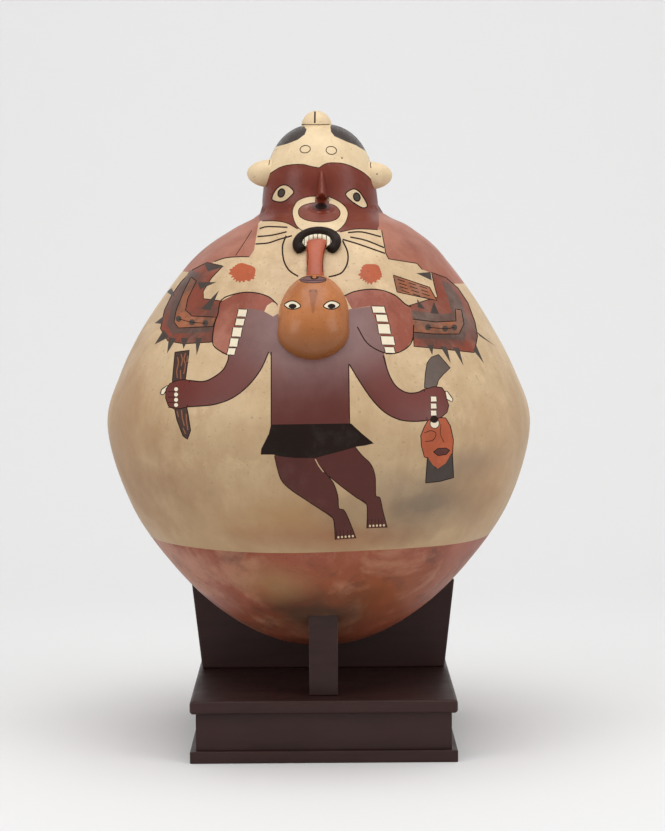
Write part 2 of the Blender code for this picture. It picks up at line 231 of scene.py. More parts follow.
def out_of_place(points):
    """The reverse of in_place."""
    local = np.array(points, dtype=float)
    local[..., 2] -= JAR_FOOT
    local[..., 0] -= middle_at(local[..., 2])
    return local


def turned_points(angles, radii, heights):
    """Points of the modelled surface at angles from the front, radii and heights."""
    points = np.stack([radii * np.sin(angles), -radii * np.cos(angles), heights], axis=-1)
    origins = np.zeros_like(points)
    origins[..., 2] = np.clip(heights, BELLY_SHARE * JAR_HEIGHT, UPPER_POLE * JAR_HEIGHT)
    distances = np.linalg.norm(points - origins, axis=-1)
    directions = (points - origins) / distances[..., None]
    distances = modelled(origins, directions, distances)
    return in_place(origins + distances[..., None] * directions)


def rise_key(radii, heights):
    """A number that grows all the way up the outline, also where it is flat."""
    middles = np.clip(heights, BELLY_SHARE * JAR_HEIGHT, UPPER_POLE * JAR_HEIGHT)
    return middles + JAR_HEIGHT * np.arctan2(heights - middles, radii)


class JarSkin:
    """The jar's surface, addressed by the angle from its front and the travel up its outline."""

    def __init__(self):
        steps = np.hypot(np.diff(OUTLINE_RADII), np.diff(OUTLINE_HEIGHTS))
        self.travels = np.concatenate([[0], np.cumsum(steps)])
        self.keys = rise_key(OUTLINE_RADII, OUTLINE_HEIGHTS)
        self.length = self.travels[-1]
        self.reach = BELLY_RADIUS

    def points(self, angles, travels):
        radii = np.interp(travels, self.travels, OUTLINE_RADII)
        heights = np.interp(travels, self.travels, OUTLINE_HEIGHTS)
        return turned_points(angles, radii, heights)

    def address(self, points):
        local = out_of_place(points)
        radii = np.hypot(local[..., 0], local[..., 1])
        angles = np.arctan2(local[..., 0], -local[..., 1])
        return angles, np.interp(rise_key(radii, local[..., 2]), self.keys, self.travels)

    def travel_at(self, height):
        """The travel at a height above the floor."""
        return np.interp(height - JAR_FOOT, OUTLINE_HEIGHTS, self.travels)

    def rows(self):
        """Travels of the rows of points, with each row's spacing at the front and behind."""
        travel = 0.0
        rows = []
        neck = self.travel_at(JAR_FOOT + HEAD_ROWS_START * JAR_HEIGHT)
        lower = self.travel_at(JAR_FOOT + FOOT_ROWS_END * JAR_HEIGHT)
        while travel < self.length:
            front = HEAD_SPACING if travel > neck else FRONT_SPACING
            front = BACK_SPACING if travel < lower else front
            rows.append((travel, front))
            travel += front
        rows[-1] = (self.length, front)
        return rows

    def row_angles(self, travel, front):
        radius = max(float(np.interp(travel, self.travels, OUTLINE_RADII)), SMALLEST_RING)
        samples = np.linspace(-math.pi, math.pi, 721)
        behind = max(front, BACK_SPACING * (0.6 if front == HEAD_SPACING else 1.0))
        facing = 0.5 + 0.5 * np.tanh((FIGURE_ANGLE - np.abs(samples)) / FIGURE_EASING)
        spacing = behind + (front - behind) * facing
        travelled = np.concatenate([[0], np.cumsum(np.diff(samples) * radius / spacing[1:])])
        count = max(int(travelled[-1]), 12)
        return np.interp(np.linspace(0, travelled[-1], count + 1), travelled, samples)


class Lobe:
    """A rounded lump: an ellipsoid that may lean back with the shoulder it sits on."""

    def __init__(self, centre, half_sizes, lean=0.0):
        self.centre = np.array(centre)
        self.half_sizes = np.array(half_sizes)
        tilt = math.radians(lean)
        self.axes = np.array([[1, 0, 0],
                              [0, math.cos(tilt), -math.sin(tilt)],
                              [0, math.sin(tilt), math.cos(tilt)]])

    def reach(self, origins, directions, inset=0.0):
        """How far along each ray the lobe's far side is, or a negative number for a miss."""
        sizes = self.half_sizes - inset
        start = (origins - self.centre) @ self.axes.T / sizes
        step = directions @ self.axes.T / sizes
        step_squared = (step * step).sum(axis=-1)
        across = (start * step).sum(axis=-1)
        under_root = across ** 2 - step_squared * ((start * start).sum(axis=-1) - 1)
        far = (np.sqrt(np.maximum(under_root, 0)) - across) / step_squared
        return np.where(under_root > 0, far, -1.0)


def blend_over(first, second, softness):
    closeness = np.maximum(softness - np.abs(first - second), 0) / softness
    return np.maximum(first, second) + closeness ** 2 * softness / 4


class LumpSkin:
    """A lump's surface, addressed by the angle round its middle and the travel from its underside."""

    def __init__(self, middle, lobes, softness, inset=0.0):
        self.middle = np.array(middle)
        self.lobes = lobes
        self.softness = softness
        self.inset = inset
        self.reach = float(np.mean(lobes[0].half_sizes))
        self.length = math.pi * self.reach

    def points(self, angles, travels):
        rise = travels / self.reach - math.pi / 2
        directions = np.stack([np.cos(rise) * np.sin(angles), -np.cos(rise) * np.cos(angles),
                               np.sin(rise)], axis=-1)
        origins = np.zeros_like(directions) + self.middle
        distances = self.lobes[0].reach(origins, directions, self.inset)
        for lobe in self.lobes[1:]:
            distances = blend_over(distances, lobe.reach(origins, directions, self.inset), self.softness)
        return in_place(origins + distances[..., None] * directions)

    def address(self, points):
        offsets = out_of_place(points) - self.middle
        lengths = np.linalg.norm(offsets, axis=-1)
        rise = np.arcsin(np.clip(offsets[..., 2] / lengths, -1, 1))
        return np.arctan2(offsets[..., 0], -offsets[..., 1]), (rise + math.pi / 2) * self.reach

    def rows(self):
        count = int(self.length / LUMP_SPACING)
        return [(travel, LUMP_SPACING) for travel in np.linspace(0, self.length, count + 1)]

    def row_angles(self, travel, spacing):
        radius = self.reach * math.sin(min(max(travel / self.reach, 0.08), math.pi - 0.08))
        count = max(int(math.tau * radius / spacing), 10)
        return np.linspace(-math.pi, math.pi, count + 1)


# From the view's pixels to a surface and back

CAMERA_TURN = (Matrix.Rotation(-YAW, 4, "Z") @ Matrix.Rotation(math.pi / 2 - PITCH, 4, "X")
               @ Matrix.Rotation(ROLL, 4, "Z"))


def view_ray(x, y):
    along = Vector((x - VIEW_WIDTH / 2, VIEW_HEIGHT / 2 - y, -FOCAL_PIXELS))
    return (CAMERA_TURN.to_3x3() @ along).normalized()


def surface_tree(skin, rows=150, spokes=200):
    """A coarse copy of a surface that rays can be cast on."""
    angles, travels = np.meshgrid(np.linspace(-math.pi, math.pi, spokes), np.linspace(0, skin.length, rows))
    points = skin.points(angles, travels).reshape(-1, 3)
    faces = [(r * spokes + s, r * spokes + s + 1, (r + 1) * spokes + s + 1, (r + 1) * spokes + s)
             for r in range(rows - 1) for s in range(spokes - 1)]
    return BVHTree.FromPolygons([Vector(p) for p in points], faces)


def carry(skin, tree, pixels):
    """Domain coordinates on a surface of points given in pixels, nudged inwards where they miss it."""
    middle_x = 318.0
    nudge = 0.5
    tries = 60
    landed = []
    for x, y in pixels:
        hit = None
        for _ in range(tries):
            hit = tree.ray_cast(Vector(EYE), view_ray(x, y))[0]
            if hit is not None:
                break
            x += nudge if x < middle_x else -nudge
        if hit is not None:
            landed.append(tuple(hit))
    if not landed:
        return np.zeros((0, 2))
    angles, travels = skin.address(np.array(landed))
    return np.stack([angles * skin.reach, travels], axis=-1) * UNIT


def spaced(points, step, closed=True):
    """A polygon with points added so that no side is longer than a step."""
    ends = points[1:] + points[:1] if closed else points[1:]
    filled = []
    for (x0, y0), (x1, y1) in zip(points, ends):
        count = max(1, math.ceil(math.hypot(x1 - x0, y1 - y0) / step))
        filled += [(x0 + (x1 - x0) * i / count, y0 + (y1 - y0) * i / count) for i in range(count)]
    return filled if closed else filled + [points[-1]]


def rounded(points, closed=True, steps=5):
    """A smooth curve through points."""
    points = np.array(points, float)
    if closed:
        padded = np.concatenate([points[-1:], points, points[:2]])
    else:
        padded = np.concatenate([2 * points[:1] - points[1:2], points, 2 * points[-1:] - points[-2:-1]])
    curve = [tuple(point) for point in curve_between(padded, steps)]
    return curve if closed else curve + [tuple(points[-1])]


def ribbon(points, width):
    """The outline of a brush line along points."""
    path = np.array(points, float)
    along = np.gradient(path, axis=0)
    along /= np.maximum(np.linalg.norm(along, axis=1, keepdims=True), 1e-9)
    side = np.stack([-along[:, 1], along[:, 0]], axis=-1) * width / 2
    return [tuple(p) for p in path + side] + [tuple(p) for p in (path - side)[::-1]]


def oval(x, y, half_width, half_height, turn=0.0, count=16):
    """Points round an oval, turned in the view by an angle in degrees."""
    c, s = math.cos(math.radians(turn)), math.sin(math.radians(turn))
    ring = []
    for i in range(count):
        a = i / count * math.tau
        dx, dy = half_width * math.cos(a), half_height * math.sin(a)
        ring.append((x + c * dx - s * dy, y + s * dx + c * dy))
    return ring


class Painting:
    """Shapes of paint, each lying over those before it."""

    def __init__(self):
        self.shapes = []

    def fill(self, paint, points, smooth=False):
        self.shapes.append((paint, rounded(points) if smooth else list(points)))

    def line(self, points, width=1.25, paint="line_black_slip", smooth=True):
        if smooth and len(points) > 2:
            points = rounded(points, closed=False, steps=4)
        self.shapes.append((paint, ribbon(spaced(list(points), PAINT_STEP_PIXELS, closed=False), width)))

    def outlined(self, paint, points, width=1.1, smooth=False):
        """A filled shape with a black outline."""
        ring = rounded(points) if smooth else list(points)
        self.fill(paint, ring)
        self.line(ring + ring[:1], width, smooth=False)

    def ring(self, points, width=1.1):
        self.line(list(points) + [points[0]], width, smooth=False)


def inside(polygon, points):
    """Which points lie within a polygon."""
    low, high = polygon.min(axis=0), polygon.max(axis=0)
    found = np.zeros(len(points), bool)
    near = np.nonzero(((points >= low) & (points <= high)).all(axis=1))[0]
    x, y = points[near].T
    odd = np.zeros(len(near), bool)
    for (x0, y0), (x1, y1) in zip(polygon, np.roll(polygon, -1, axis=0)):
        if y0 != y1:
            crosses = (y0 > y) != (y1 > y)
            odd ^= crosses & (x < (x1 - x0) * (y - y0) / (y1 - y0) + x0)
    found[near] = odd
    return found


def painted_mesh(name, skin, base_paint, bands, painting):
    """A closed mesh of a surface whose triangles follow the edges of its paint."""
    tree = surface_tree(skin)
    shapes = list(bands)
    for paint, pixels in painting.shapes:
        polygon = carry(skin, tree, spaced(pixels, PAINT_STEP_PIXELS))
        if len(polygon) > 2:
            shapes.append((paint, polygon))
    half_width = math.pi * skin.reach * UNIT
    height = skin.length * UNIT
    verts = []
    rows = skin.rows()
    for index, (travel, spacing) in enumerate(rows):
        pole = index in (0, len(rows) - 1)
        angles = skin.row_angles(rows[1][0] if index == 0 else rows[-2][0] if pole else travel, spacing)
        if index % 2 and not pole:
            inner = (angles[1:] + angles[:-1]) / 2
            angles = np.concatenate([angles[:1], inner, angles[-1:]])
        verts += [(a * skin.reach * UNIT, travel * UNIT) for a in angles]
    edges = []
    for _, polygon in shapes:
        first = len(verts)
        count = len(polygon)
        for x, y in polygon:
            verts.append((float(np.clip(x, -half_width, half_width)), float(np.clip(y, 0, height))))
        edges += [(first + i, first + (i + 1) % count) for i in range(count)]
    flat, _, faces, *_ = delaunay_2d_cdt([Vector(v) for v in verts], edges, [], 0, TOLERANCE, False)
    flat = np.array([tuple(v) for v in flat])
    faces = np.array([f for f in faces if len(f) == 3])
    centres = flat[faces].mean(axis=1)
    paints = np.full(len(faces), PAINT_NAMES.index(base_paint))
    for paint, polygon in shapes:
        paints[inside(polygon, centres)] = PAINT_NAMES.index(paint)
    return closed_mesh(name, skin, flat, faces, paints, half_width, height)


def closed_mesh(name, skin, flat, faces, paints, half_width, height):
    """Joins the flat mesh's two side edges, and closes its ends, each into one point."""
    edge = 2.5 * TOLERANCE
    flat = flat.copy()
    same = np.arange(len(flat))
    for at_end in (flat[:, 1] < edge, flat[:, 1] > height - edge):
        members = np.nonzero(at_end)[0]
        same[members] = members[0]
    left = np.nonzero((flat[:, 0] < edge - half_width) & (same == np.arange(len(flat))))[0]
    right = np.nonzero((flat[:, 0] > half_width - edge) & (same == np.arange(len(flat))))[0]
    order = left[np.argsort(flat[left, 1])]
    for index in right:
        nearest = order[np.argmin(np.abs(flat[order, 1] - flat[index, 1]))]
        same[index] = nearest
    points = skin.points(flat[:, 0] / UNIT / skin.reach, flat[:, 1] / UNIT)
    faces = same[faces]
    whole = (faces[:, 0] != faces[:, 1]) & (faces[:, 1] != faces[:, 2]) & (faces[:, 2] != faces[:, 0])
    faces, paints = faces[whole], paints[whole]
    # A fold left where an end closes is two triangles on the same points, which aren't wanted
    _, twin, uses = np.unique(np.sort(faces, axis=1), axis=0, return_inverse=True, return_counts=True)
    single = uses[twin.ravel()] == 1
    faces, paints = faces[single], paints[single]
    used, faces = np.unique(faces, return_inverse=True)
    faces = faces.reshape(-1, 3)
    return mesh_of(name, points[used], faces, paints)


def mesh_of(name, points, faces, paints):
    mesh = bpy.data.meshes.new(name)
    mesh.from_pydata([tuple(p) for p in points], [], [tuple(int(i) for i in f) for f in faces])
    for paint in PAINT_NAMES:
        mesh.materials.append(MATERIALS[paint])
    mesh.polygons.foreach_set("material_index", np.array(paints, dtype=np.int32))
    shape = bmesh.new()
    shape.from_mesh(mesh)
    bmesh.ops.recalc_face_normals(shape, faces=shape.faces[:])
    shape.to_mesh(mesh)
    shape.free()
    mesh.shade_smooth()
    return mesh


def view_pixels(points):
    """Where points appear in the view."""
    local = (np.array(points) - EYE) @ np.array(CAMERA_TURN.to_3x3())
    return np.stack([VIEW_WIDTH / 2 - local[:, 0] / local[:, 2] * FOCAL_PIXELS,
                     VIEW_HEIGHT / 2 + local[:, 1] / local[:, 2] * FOCAL_PIXELS], axis=-1)


# Materials


def linear(colour):
    shares = [c / 255 for c in colour]
    return [s / 12.92 if s <= 0.04045 else ((s + 0.055) / 1.055) ** 2.4 for s in shares]


class Nodes:
    """Short forms for building a material's nodes."""

    def __init__(self, name):
        self.material = bpy.data.materials.new(name)
        self.material.use_nodes = True
        self.tree = self.material.node_tree
        self.shader = self.tree.nodes["Principled BSDF"]
        self.place = self.tree.nodes.new("ShaderNodeTexCoord").outputs["Object"]

    def link(self, output, target):
        self.tree.links.new(output, target)

    def noise(self, scale, detail, roughness, distortion=0.0, stretch=None):
        node = self.tree.nodes.new("ShaderNodeTexNoise")
        node.inputs["Scale"].default_value = scale
        node.inputs["Detail"].default_value = detail
        node.inputs["Roughness"].default_value = roughness
        node.inputs["Distortion"].default_value = distortion
        source = self.place
        if stretch:
            mapping = self.tree.nodes.new("ShaderNodeMapping")
            mapping.inputs["Scale"].default_value = stretch
            self.link(source, mapping.inputs["Vector"])
            source = mapping.outputs["Vector"]
        self.link(source, node.inputs["Vector"])
        return node.outputs["Fac"]

    def ranged(self, value, low, high, to_low=0.0, to_high=1.0):
        node = self.tree.nodes.new("ShaderNodeMapRange")
        for key, number in (("From Min", low), ("From Max", high), ("To Min", to_low), ("To Max", to_high)):
            node.inputs[key].default_value = number
        self.link(value, node.inputs["Value"])
        return node.outputs["Result"]

    def times(self, first, second):
        node = self.tree.nodes.new("ShaderNodeMath")
        node.operation = "MULTIPLY"
        self.link(first, node.inputs[0])
        if isinstance(second, float):
            node.inputs[1].default_value = second
        else:
            self.link(second, node.inputs[1])
        return node.outputs[0]

    def mixed(self, base, colour, factor):
        node = self.tree.nodes.new("ShaderNodeMix")
        node.data_type = "RGBA"
        self.link(factor, node.inputs["Factor"])
        if isinstance(base, (list, tuple)):
            node.inputs["A"].default_value = (*base, 1)
        else:
            self.link(base, node.inputs["A"])
        node.inputs["B"].default_value = (*colour, 1)
        return node.outputs["Result"]

    def near(self, centre, radii, softness):
        """A soft patch round a place, with a ragged edge: one within it, none outside."""
        wobble = 0.35
        mapping = self.tree.nodes.new("ShaderNodeMapping")
        mapping.inputs["Location"].default_value = [-c / r for c, r in zip(centre, radii)]
        mapping.inputs["Scale"].default_value = [1 / r for r in radii]
        self.link(self.place, mapping.inputs["Vector"])
        length = self.tree.nodes.new("ShaderNodeVectorMath")
        length.operation = "LENGTH"
        self.link(mapping.outputs["Vector"], length.inputs[0])
        ragged = self.tree.nodes.new("ShaderNodeMath")
        ragged.operation = "ADD"
        self.link(length.outputs["Value"], ragged.inputs[0])
        self.link(self.ranged(self.noise(22, 5, 0.6), 0.3, 0.7, -wobble, wobble), ragged.inputs[1])
        return self.ranged(ragged.outputs[0], 1 - softness, 1 + softness * 0.4, 1, 0)

    def clouded(self, tint, colour, scale, detail, roughness, span, strength, distortion=0.0, stretch=None):
        clouds = self.ranged(self.noise(scale, detail, roughness, distortion, stretch), *span)
        return self.mixed(tint, colour, self.times(clouds, strength))

    def overcast(self, tint, clouds):
        for colour, *cloud in clouds:
            tint = self.clouded(tint, linear(colour), *cloud)
        return tint

    # Lays soft patches of colour over a tint: stain patches, and the front post's painted shadow
    def stained(self, tint, patches):
        for colour, centre, half_sizes, softness, strength in patches:
            patch = self.near(centre, half_sizes, softness)
            tint = self.mixed(tint, linear(colour), self.times(patch, strength))
        return tint

    def height(self):
        split = self.tree.nodes.new("ShaderNodeSeparateXYZ")
        self.link(self.place, split.inputs["Vector"])
        return split.outputs["Z"]

    def bump(self, value, strength, distance):
        node = self.tree.nodes.new("ShaderNodeBump")
        node.inputs["Strength"].default_value = strength
        node.inputs["Distance"].default_value = distance
        self.link(value, node.inputs["Height"])
        self.link(node.outputs["Normal"], self.shader.inputs["Normal"])


# Clouds over a slip: colour, noise's scale, detail, roughness, range that counts, strength,
# and where they aren't plain, the noise's distortion and stretch
WING_CLOUDS = [
    ((74, 52, 43), 30, 8, 0.72, (0.48, 0.60), 0.65),
    ((136, 116, 104), 17, 8, 0.70, (0.50, 0.66), 0.45),
]
RUBBED_CLOUDS = [
    ((186, 134, 114), 12, 9, 0.72, (0.44, 0.66), 0.55, 0.0, (1.0, 1.0, 0.5)),
    ((118, 56, 44), 19, 8, 0.70, (0.52, 0.66), 0.60),
]
FIRE_CLOUDS = [
    ((186, 134, 104), 15, 8, 0.68, (0.48, 0.60), 0.50, 0.6),
    ((96, 56, 42), 24, 8, 0.68, (0.52, 0.66), 0.60, 0.6),
]

# Stains, hazes and patches of painted shadow: colour, centre and half sizes in metres, softness, strength
TORSO_HAZE = [((146, 114, 110), (0, -0.17, 0.372), (0.095, 0.10, 0.055), 0.9, 0.75)]
HAND_STAINS = [
    ((102, 36, 26), (-0.115, -0.14, 0.325), (0.06, 0.08, 0.035), 0.8, 1.0),
    ((102, 36, 26), (0.085, -0.15, 0.312), (0.06, 0.08, 0.035), 0.8, 1.0),
]
CREAM_STAINS = [
    ((150, 108, 70), (-0.165, -0.06, 0.27), (0.055, 0.10, 0.10), 0.7, 0.60),
    ((132, 92, 58), (-0.12, -0.11, 0.235), (0.05, 0.07, 0.03), 0.8, 0.55),
    ((160, 114, 66), (-0.03, -0.16, 0.215), (0.05, 0.06, 0.02), 0.8, 0.50),
    ((98, 84, 74), (0.085, -0.15, 0.222), (0.075, 0.08, 0.026), 0.9, 0.70),
    ((120, 106, 96), (0.125, -0.13, 0.255), (0.04, 0.06, 0.014), 0.9, 0.55),
    ((146, 88, 58), (0.0, -0.15, 0.197), (0.07, 0.08, 0.012), 0.9, 0.55),
    ((164, 122, 82), (0.15, -0.10, 0.245), (0.05, 0.06, 0.06), 0.8, 0.50),
]
ORANGE_STAINS = [((140, 74, 36), (0.035, -0.10, 0.145), (0.085, 0.09, 0.03), 0.8, 0.80)]
# The front post's shadow, painted on the jar's underside where the jar rests on the post, and a paler patch
# beside it
POST_SHADOW_AND_FOOT_PATCH = [
    ((70, 54, 42), (-0.005, -0.10, 0.125), (0.06, 0.08, 0.024), 0.8, 0.85),
    ((160, 124, 84), (-0.045, -0.12, 0.155), (0.035, 0.05, 0.018), 0.8, 0.60),
]

# Shares of red, green and blue left in a slip's darker clouds, and of all three in its specks
DARKER_SHARES = (0.66, 0.58, 0.50)
SPECK_SHARE = 0.4
BLACK_SPECULAR = 0.12
SLIP_SPECULAR = 0.36
WOOD_SPECULAR = 0.25


def make_slip(name, colour, roughness, mottling):
    """Burnished slip paint: mottled, a little worn, with fine marks of burnishing."""
    nodes = Nodes(name)
    base = linear(colour)
    darker = [c * left for c, left in zip(base, DARKER_SHARES)]
    paler = [min(1, c * 1.25 + 0.03) for c in base]
    specks = [c * SPECK_SHARE for c in base]
    tint = nodes.clouded(base, darker, 14, 8, 0.66, (0.44, 0.70), mottling * 0.75)
    tint = nodes.clouded(tint, paler, 38, 8, 0.7, (0.52, 0.68), mottling * 0.5)
    tint = nodes.clouded(tint, darker, 46, 5, 0.65, (0.50, 0.66), mottling * 0.4, stretch=(1.0, 1.0, 0.14))
    tint = nodes.clouded(tint, specks, 420, 2, 0.5, (0.66, 0.72), mottling * 0.6)
    tint = age_and_shade_slip(name, nodes, tint)
    nodes.link(tint, nodes.shader.inputs["Base Color"])
    nodes.link(nodes.ranged(nodes.noise(26, 4, 0.6), 0.3, 0.7, roughness - 0.06, roughness + 0.12),
               nodes.shader.inputs["Roughness"])
    specular = BLACK_SPECULAR if "black" in name else SLIP_SPECULAR
    nodes.shader.inputs["Specular IOR Level"].default_value = specular
    nodes.bump(nodes.noise(150, 4, 0.6, stretch=(1.0, 1.0, 0.4)), 0.10, 0.0006)
    return nodes.material


def age_and_shade_slip(name, nodes, tint):
    """The stain patches, hazes, fire clouds and darkenings towards the bottom that only some slips have, and
    painted shade: the front post's shadow on the jar and the carried head's darker underside.
    """
    if name == "cream_slip":
        low = nodes.ranged(nodes.height(), 0.36, 0.20)
        patchy = nodes.ranged(nodes.noise(9, 8, 0.66), 0.3, 0.6, 0.35, 1.0)
        tint = nodes.mixed(tint, linear((168, 136, 98)), nodes.times(low, patchy))
        tint = nodes.stained(tint, CREAM_STAINS)
    if name == "fired_red_ground":
        tint = nodes.stained(tint, ORANGE_STAINS)
        tint = nodes.overcast(tint, FIRE_CLOUDS)
        # The front post's painted shadow on the jar's underside, and a paler patch beside it
        tint = nodes.stained(tint, POST_SHADOW_AND_FOOT_PATCH)
    if name == "torso_plum_slip":
        tint = nodes.stained(tint, TORSO_HAZE)
        low = nodes.ranged(nodes.height(), 0.340, 0.310, 0, 0.75)
        tint = nodes.mixed(tint, linear((88, 36, 28)), low)
        tint = nodes.stained(tint, HAND_STAINS)
    # Painted shade: the carried head's skin darkens towards its underside
    if name == "carried_skin_slip":
        low = nodes.ranged(nodes.height(), 0.385, 0.345, 0, 0.85)
        tint = nodes.mixed(tint, linear((122, 72, 36)), low)
    if name in ("shoulder_red_slip", "arm_red_slip"):
        tint = nodes.overcast(tint, RUBBED_CLOUDS)
    if name.startswith("wing"):
        tint = nodes.overcast(tint, WING_CLOUDS)
    return tint


def make_wood():
    """Dark stained wood under a thin satin varnish, its pores only just showing."""
    nodes = Nodes("dark_stained_wood")
    nodes.shader.inputs["Specular IOR Level"].default_value = WOOD_SPECULAR
    grain = nodes.noise(90, 5, 0.65, stretch=(0.12, 1.0, 1.0))
    pores = nodes.times(nodes.ranged(grain, 0.42, 0.66), 0.6)
    tint = nodes.mixed(linear((54, 33, 30)), linear((41, 24, 22)), pores)
    tint = nodes.clouded(tint, linear((62, 43, 40)), 7, 4, 0.6, (0.5, 0.75), 0.4)
    nodes.link(tint, nodes.shader.inputs["Base Color"])
    nodes.link(nodes.ranged(nodes.noise(40, 3, 0.5), 0.3, 0.7, 0.38, 0.52), nodes.shader.inputs["Roughness"])
    nodes.bump(grain, 0.08, 0.0004)
    return nodes.material


MATERIALS = {name: make_slip(name, *values) for name, values in PAINTS.items()}


# The figure's paint, in pixels of the view


def paint_head(p):
    p.fill("face_red_slip", [
        (262, 150), (259.5, 190), (258.8, 219), (261, 222), (276, 224), (287.4, 227), (297.7, 232),
        (320, 236), (340, 235), (356, 232), (376, 231), (379, 226), (378.6, 205), (377.5, 190), (374, 150)])
    p.fill("cream_slip", [
        (258.6, 223), (253.6, 250), (249, 256.8), (237.5, 256.8), (225, 258), (214.3, 261.6), (205, 268),
        (190, 290), (176, 322), (160, 345), (160, 372), (480, 372), (478, 335), (462, 310), (444, 290),
        (431.4, 273), (422.5, 269.6), (417, 263.4), (388.6, 258.9), (385.9, 253.6), (381.2, 230.4),
        (378, 229.4), (356, 229), (340, 232), (297.7, 228.7), (287.4, 223), (276, 220.7), (261, 220.7)])
    left_brow = [
        (265.6, 177.7), (272.5, 171.9), (281.7, 166.7), (293, 164.5), (303.5, 164.5), (310.4, 166.2),
        (319, 167.8)]
    right_brow = [
        (325.3, 163.9), (333.3, 162.7), (344.8, 163.9), (356.3, 168.5), (365.5, 174.2), (373.5, 182.2)]
    p.fill("head_cream_slip", [
        (262, 183.4), *left_brow, *right_brow, (376.4, 186.8), (372, 160), (366.6, 151.8), (356.3, 145.5),
        (344.8, 140.9), (334.5, 136.3), (331, 131.7), (330.4, 127), (331, 122), (301, 122), (304.6, 127),
        (306.7, 129.4), (304.6, 134.6), (297.7, 139.8), (287.4, 143.8), (276, 146.7), (272.5, 152.4),
        (266, 160)])
    p.line([(263, 182.5), *left_brow], 0.8)
    p.line([left_brow[-1], *right_brow], 0.8)
    p.ring(oval(305.2, 149.2, 5.2, 3.7, -8), 0.9)
    p.ring(oval(331.3, 150.4, 5.3, 4.0, 8), 0.9)
    for x, y in ((342, 158), (262.8, 172), (371, 166)):
        p.fill("line_black_slip", oval(x, y, 0.9, 0.8, count=7))
    left_eye = [
        (272.1, 199.3), (274.4, 191.8), (279, 186.7), (284.2, 184.9), (289.4, 186.7), (293.7, 191.8),
        (290.5, 196.4), (284.8, 201), (278.5, 201.9)]
    right_eye = [
        (345.6, 194.7), (349.5, 190.4), (354.8, 189), (359.6, 192), (362.8, 196.5), (365.7, 201),
        (367.4, 206.2), (363.4, 207.9), (358.2, 205.6), (351.3, 201)]
    p.outlined("head_cream_slip", left_eye, 1.2, smooth=True)
    p.outlined("head_cream_slip", right_eye, 1.2, smooth=True)
    for x, y, turn in ((281.3, 193, 20), (356.8, 197, -20)):
        p.fill("line_black_slip", oval(x, y, 3.9, 4.9, turn))
        p.fill("spike_grey_slip", oval(x, y, 2.6, 3.6, turn))
    loop = [
        (316.7, 196.6), (308, 196.8), (297.7, 200.8), (292.6, 209.8), (293.6, 219), (297.7, 227), (306, 232),
        (320, 234), (334, 232.5), (343.6, 225.2), (347.9, 215.5), (345.9, 207.5), (337.9, 200.8),
        (327.2, 196.6), (322, 199)]
    p.outlined("head_cream_slip", loop, 0.8, smooth=True)
    p.outlined("nose_purple_slip", [
        (298.3, 211.5), (301.5, 206.4), (309, 203.6), (319, 202.4), (330, 203.8), (337, 207.2),
        (340.2, 213.2), (336.5, 219), (326, 221.9), (311, 221.2), (301, 217.5)], 0.8, smooth=True)
    p.fill("face_red_slip", [
        (316.6, 194.8), (327.4, 194.8), (328.6, 203.6), (334, 206), (309, 206), (315.6, 203.4)])
    p.line([(316.6, 196), (315.4, 199.5), (316, 203.8)], 0.8)
    p.line([(327.4, 196.2), (329, 199.8), (328.2, 204)], 0.8)
    # Painted shade under the nose: three ovals that darken towards the middle
    p.fill("face_red_slip", oval(321.5, 208.2, 14, 6.2))
    p.fill("leg_red_slip", oval(321.3, 207, 10, 4.6))
    p.fill("belt_black_slip", oval(321.1, 206.4, 6, 3.0))
    p.fill("belt_black_slip", oval(318.5, 241, 18.5, 9, count=24))


def paint_chest(p):
    p.line([(258, 223), (253.6, 250), (249, 256.8)], 1.0, "shoulder_red_slip", smooth=False)
    p.line([(249, 256.8), (237.5, 256.8), (225, 258), (214.3, 261.6)], 1.0)
    p.line([(381.6, 230.4), (385.9, 253.6), (388.6, 258.9), (417, 263.4), (422.5, 269.6)], 0.9, smooth=False)
    p.line([(251.8, 230.4), (244, 243), (235.7, 255.4)], 0.7)
    p.line([(262, 220.9), (276, 221), (287.4, 223.3), (297.7, 229)], 0.9)
    p.line([(340, 232), (356, 229), (378, 229.6)], 0.9)
    for whisker in ([(259.5, 228.6), (268, 226.6), (287.5, 227.3)],
                    [(257.5, 236.6), (272, 235.2), (286.6, 231.8)],
                    [(255.5, 244), (268, 243), (279, 239.4), (292, 235.7)],
                    [(347.9, 232.6), (362, 232), (381, 236.8)],
                    [(350.2, 237), (366, 240.4), (384, 247.6)],
                    [(342.5, 239.3), (360, 244.6), (385, 253.4)]):
        p.line(whisker, 1.5)
    p.line([(286.2, 235.6), (282.5, 246.4), (283.9, 260.7), (289.3, 270.5), (298.2, 276.4)], 1.6)
    p.line([(342.5, 240.4), (347.5, 251.8), (347.5, 262.5), (343, 271.4), (336.8, 275), (328.6, 276.8)], 1.6)
    for x, y, width, height in ((242.9, 272.6, 13.2, 9.4), (370.6, 273.4, 11.4, 10)):
        blot = []
        for turn in np.linspace(0, math.tau, 90, endpoint=False):
            fringe = 0.5 - 0.5 * math.cos(turn - math.radians(300))
            fray = 0.13 * fringe * math.sin(19 * turn + 2 * math.sin(3 * turn))
            ragged = 0.98 + 0.05 * math.sin(5 * turn + x) + fray
            blot.append((x + width * ragged * math.cos(turn), y + height * ragged * math.sin(turn)))
        p.fill("spot_orange_slip", blot)


def paint_wing(p, outer, spikes, panel, spots, path):
    """One wing: rust ground, an orange panel with grey spots, dark grey spikes round it."""
    p.outlined("wing_rust_slip", outer, 0.9)
    p.fill("wing_plum_slip", path)
    for tip, left, right in spikes:
        p.fill("spike_grey_slip", [left, tip, right])
    p.outlined("wing_orange_slip", panel, 0.9)
    for x, y in spots:
        p.fill("spike_grey_slip", oval(x, y, 3.0, 3.2, count=9))
    p.line(spots, 0.8)


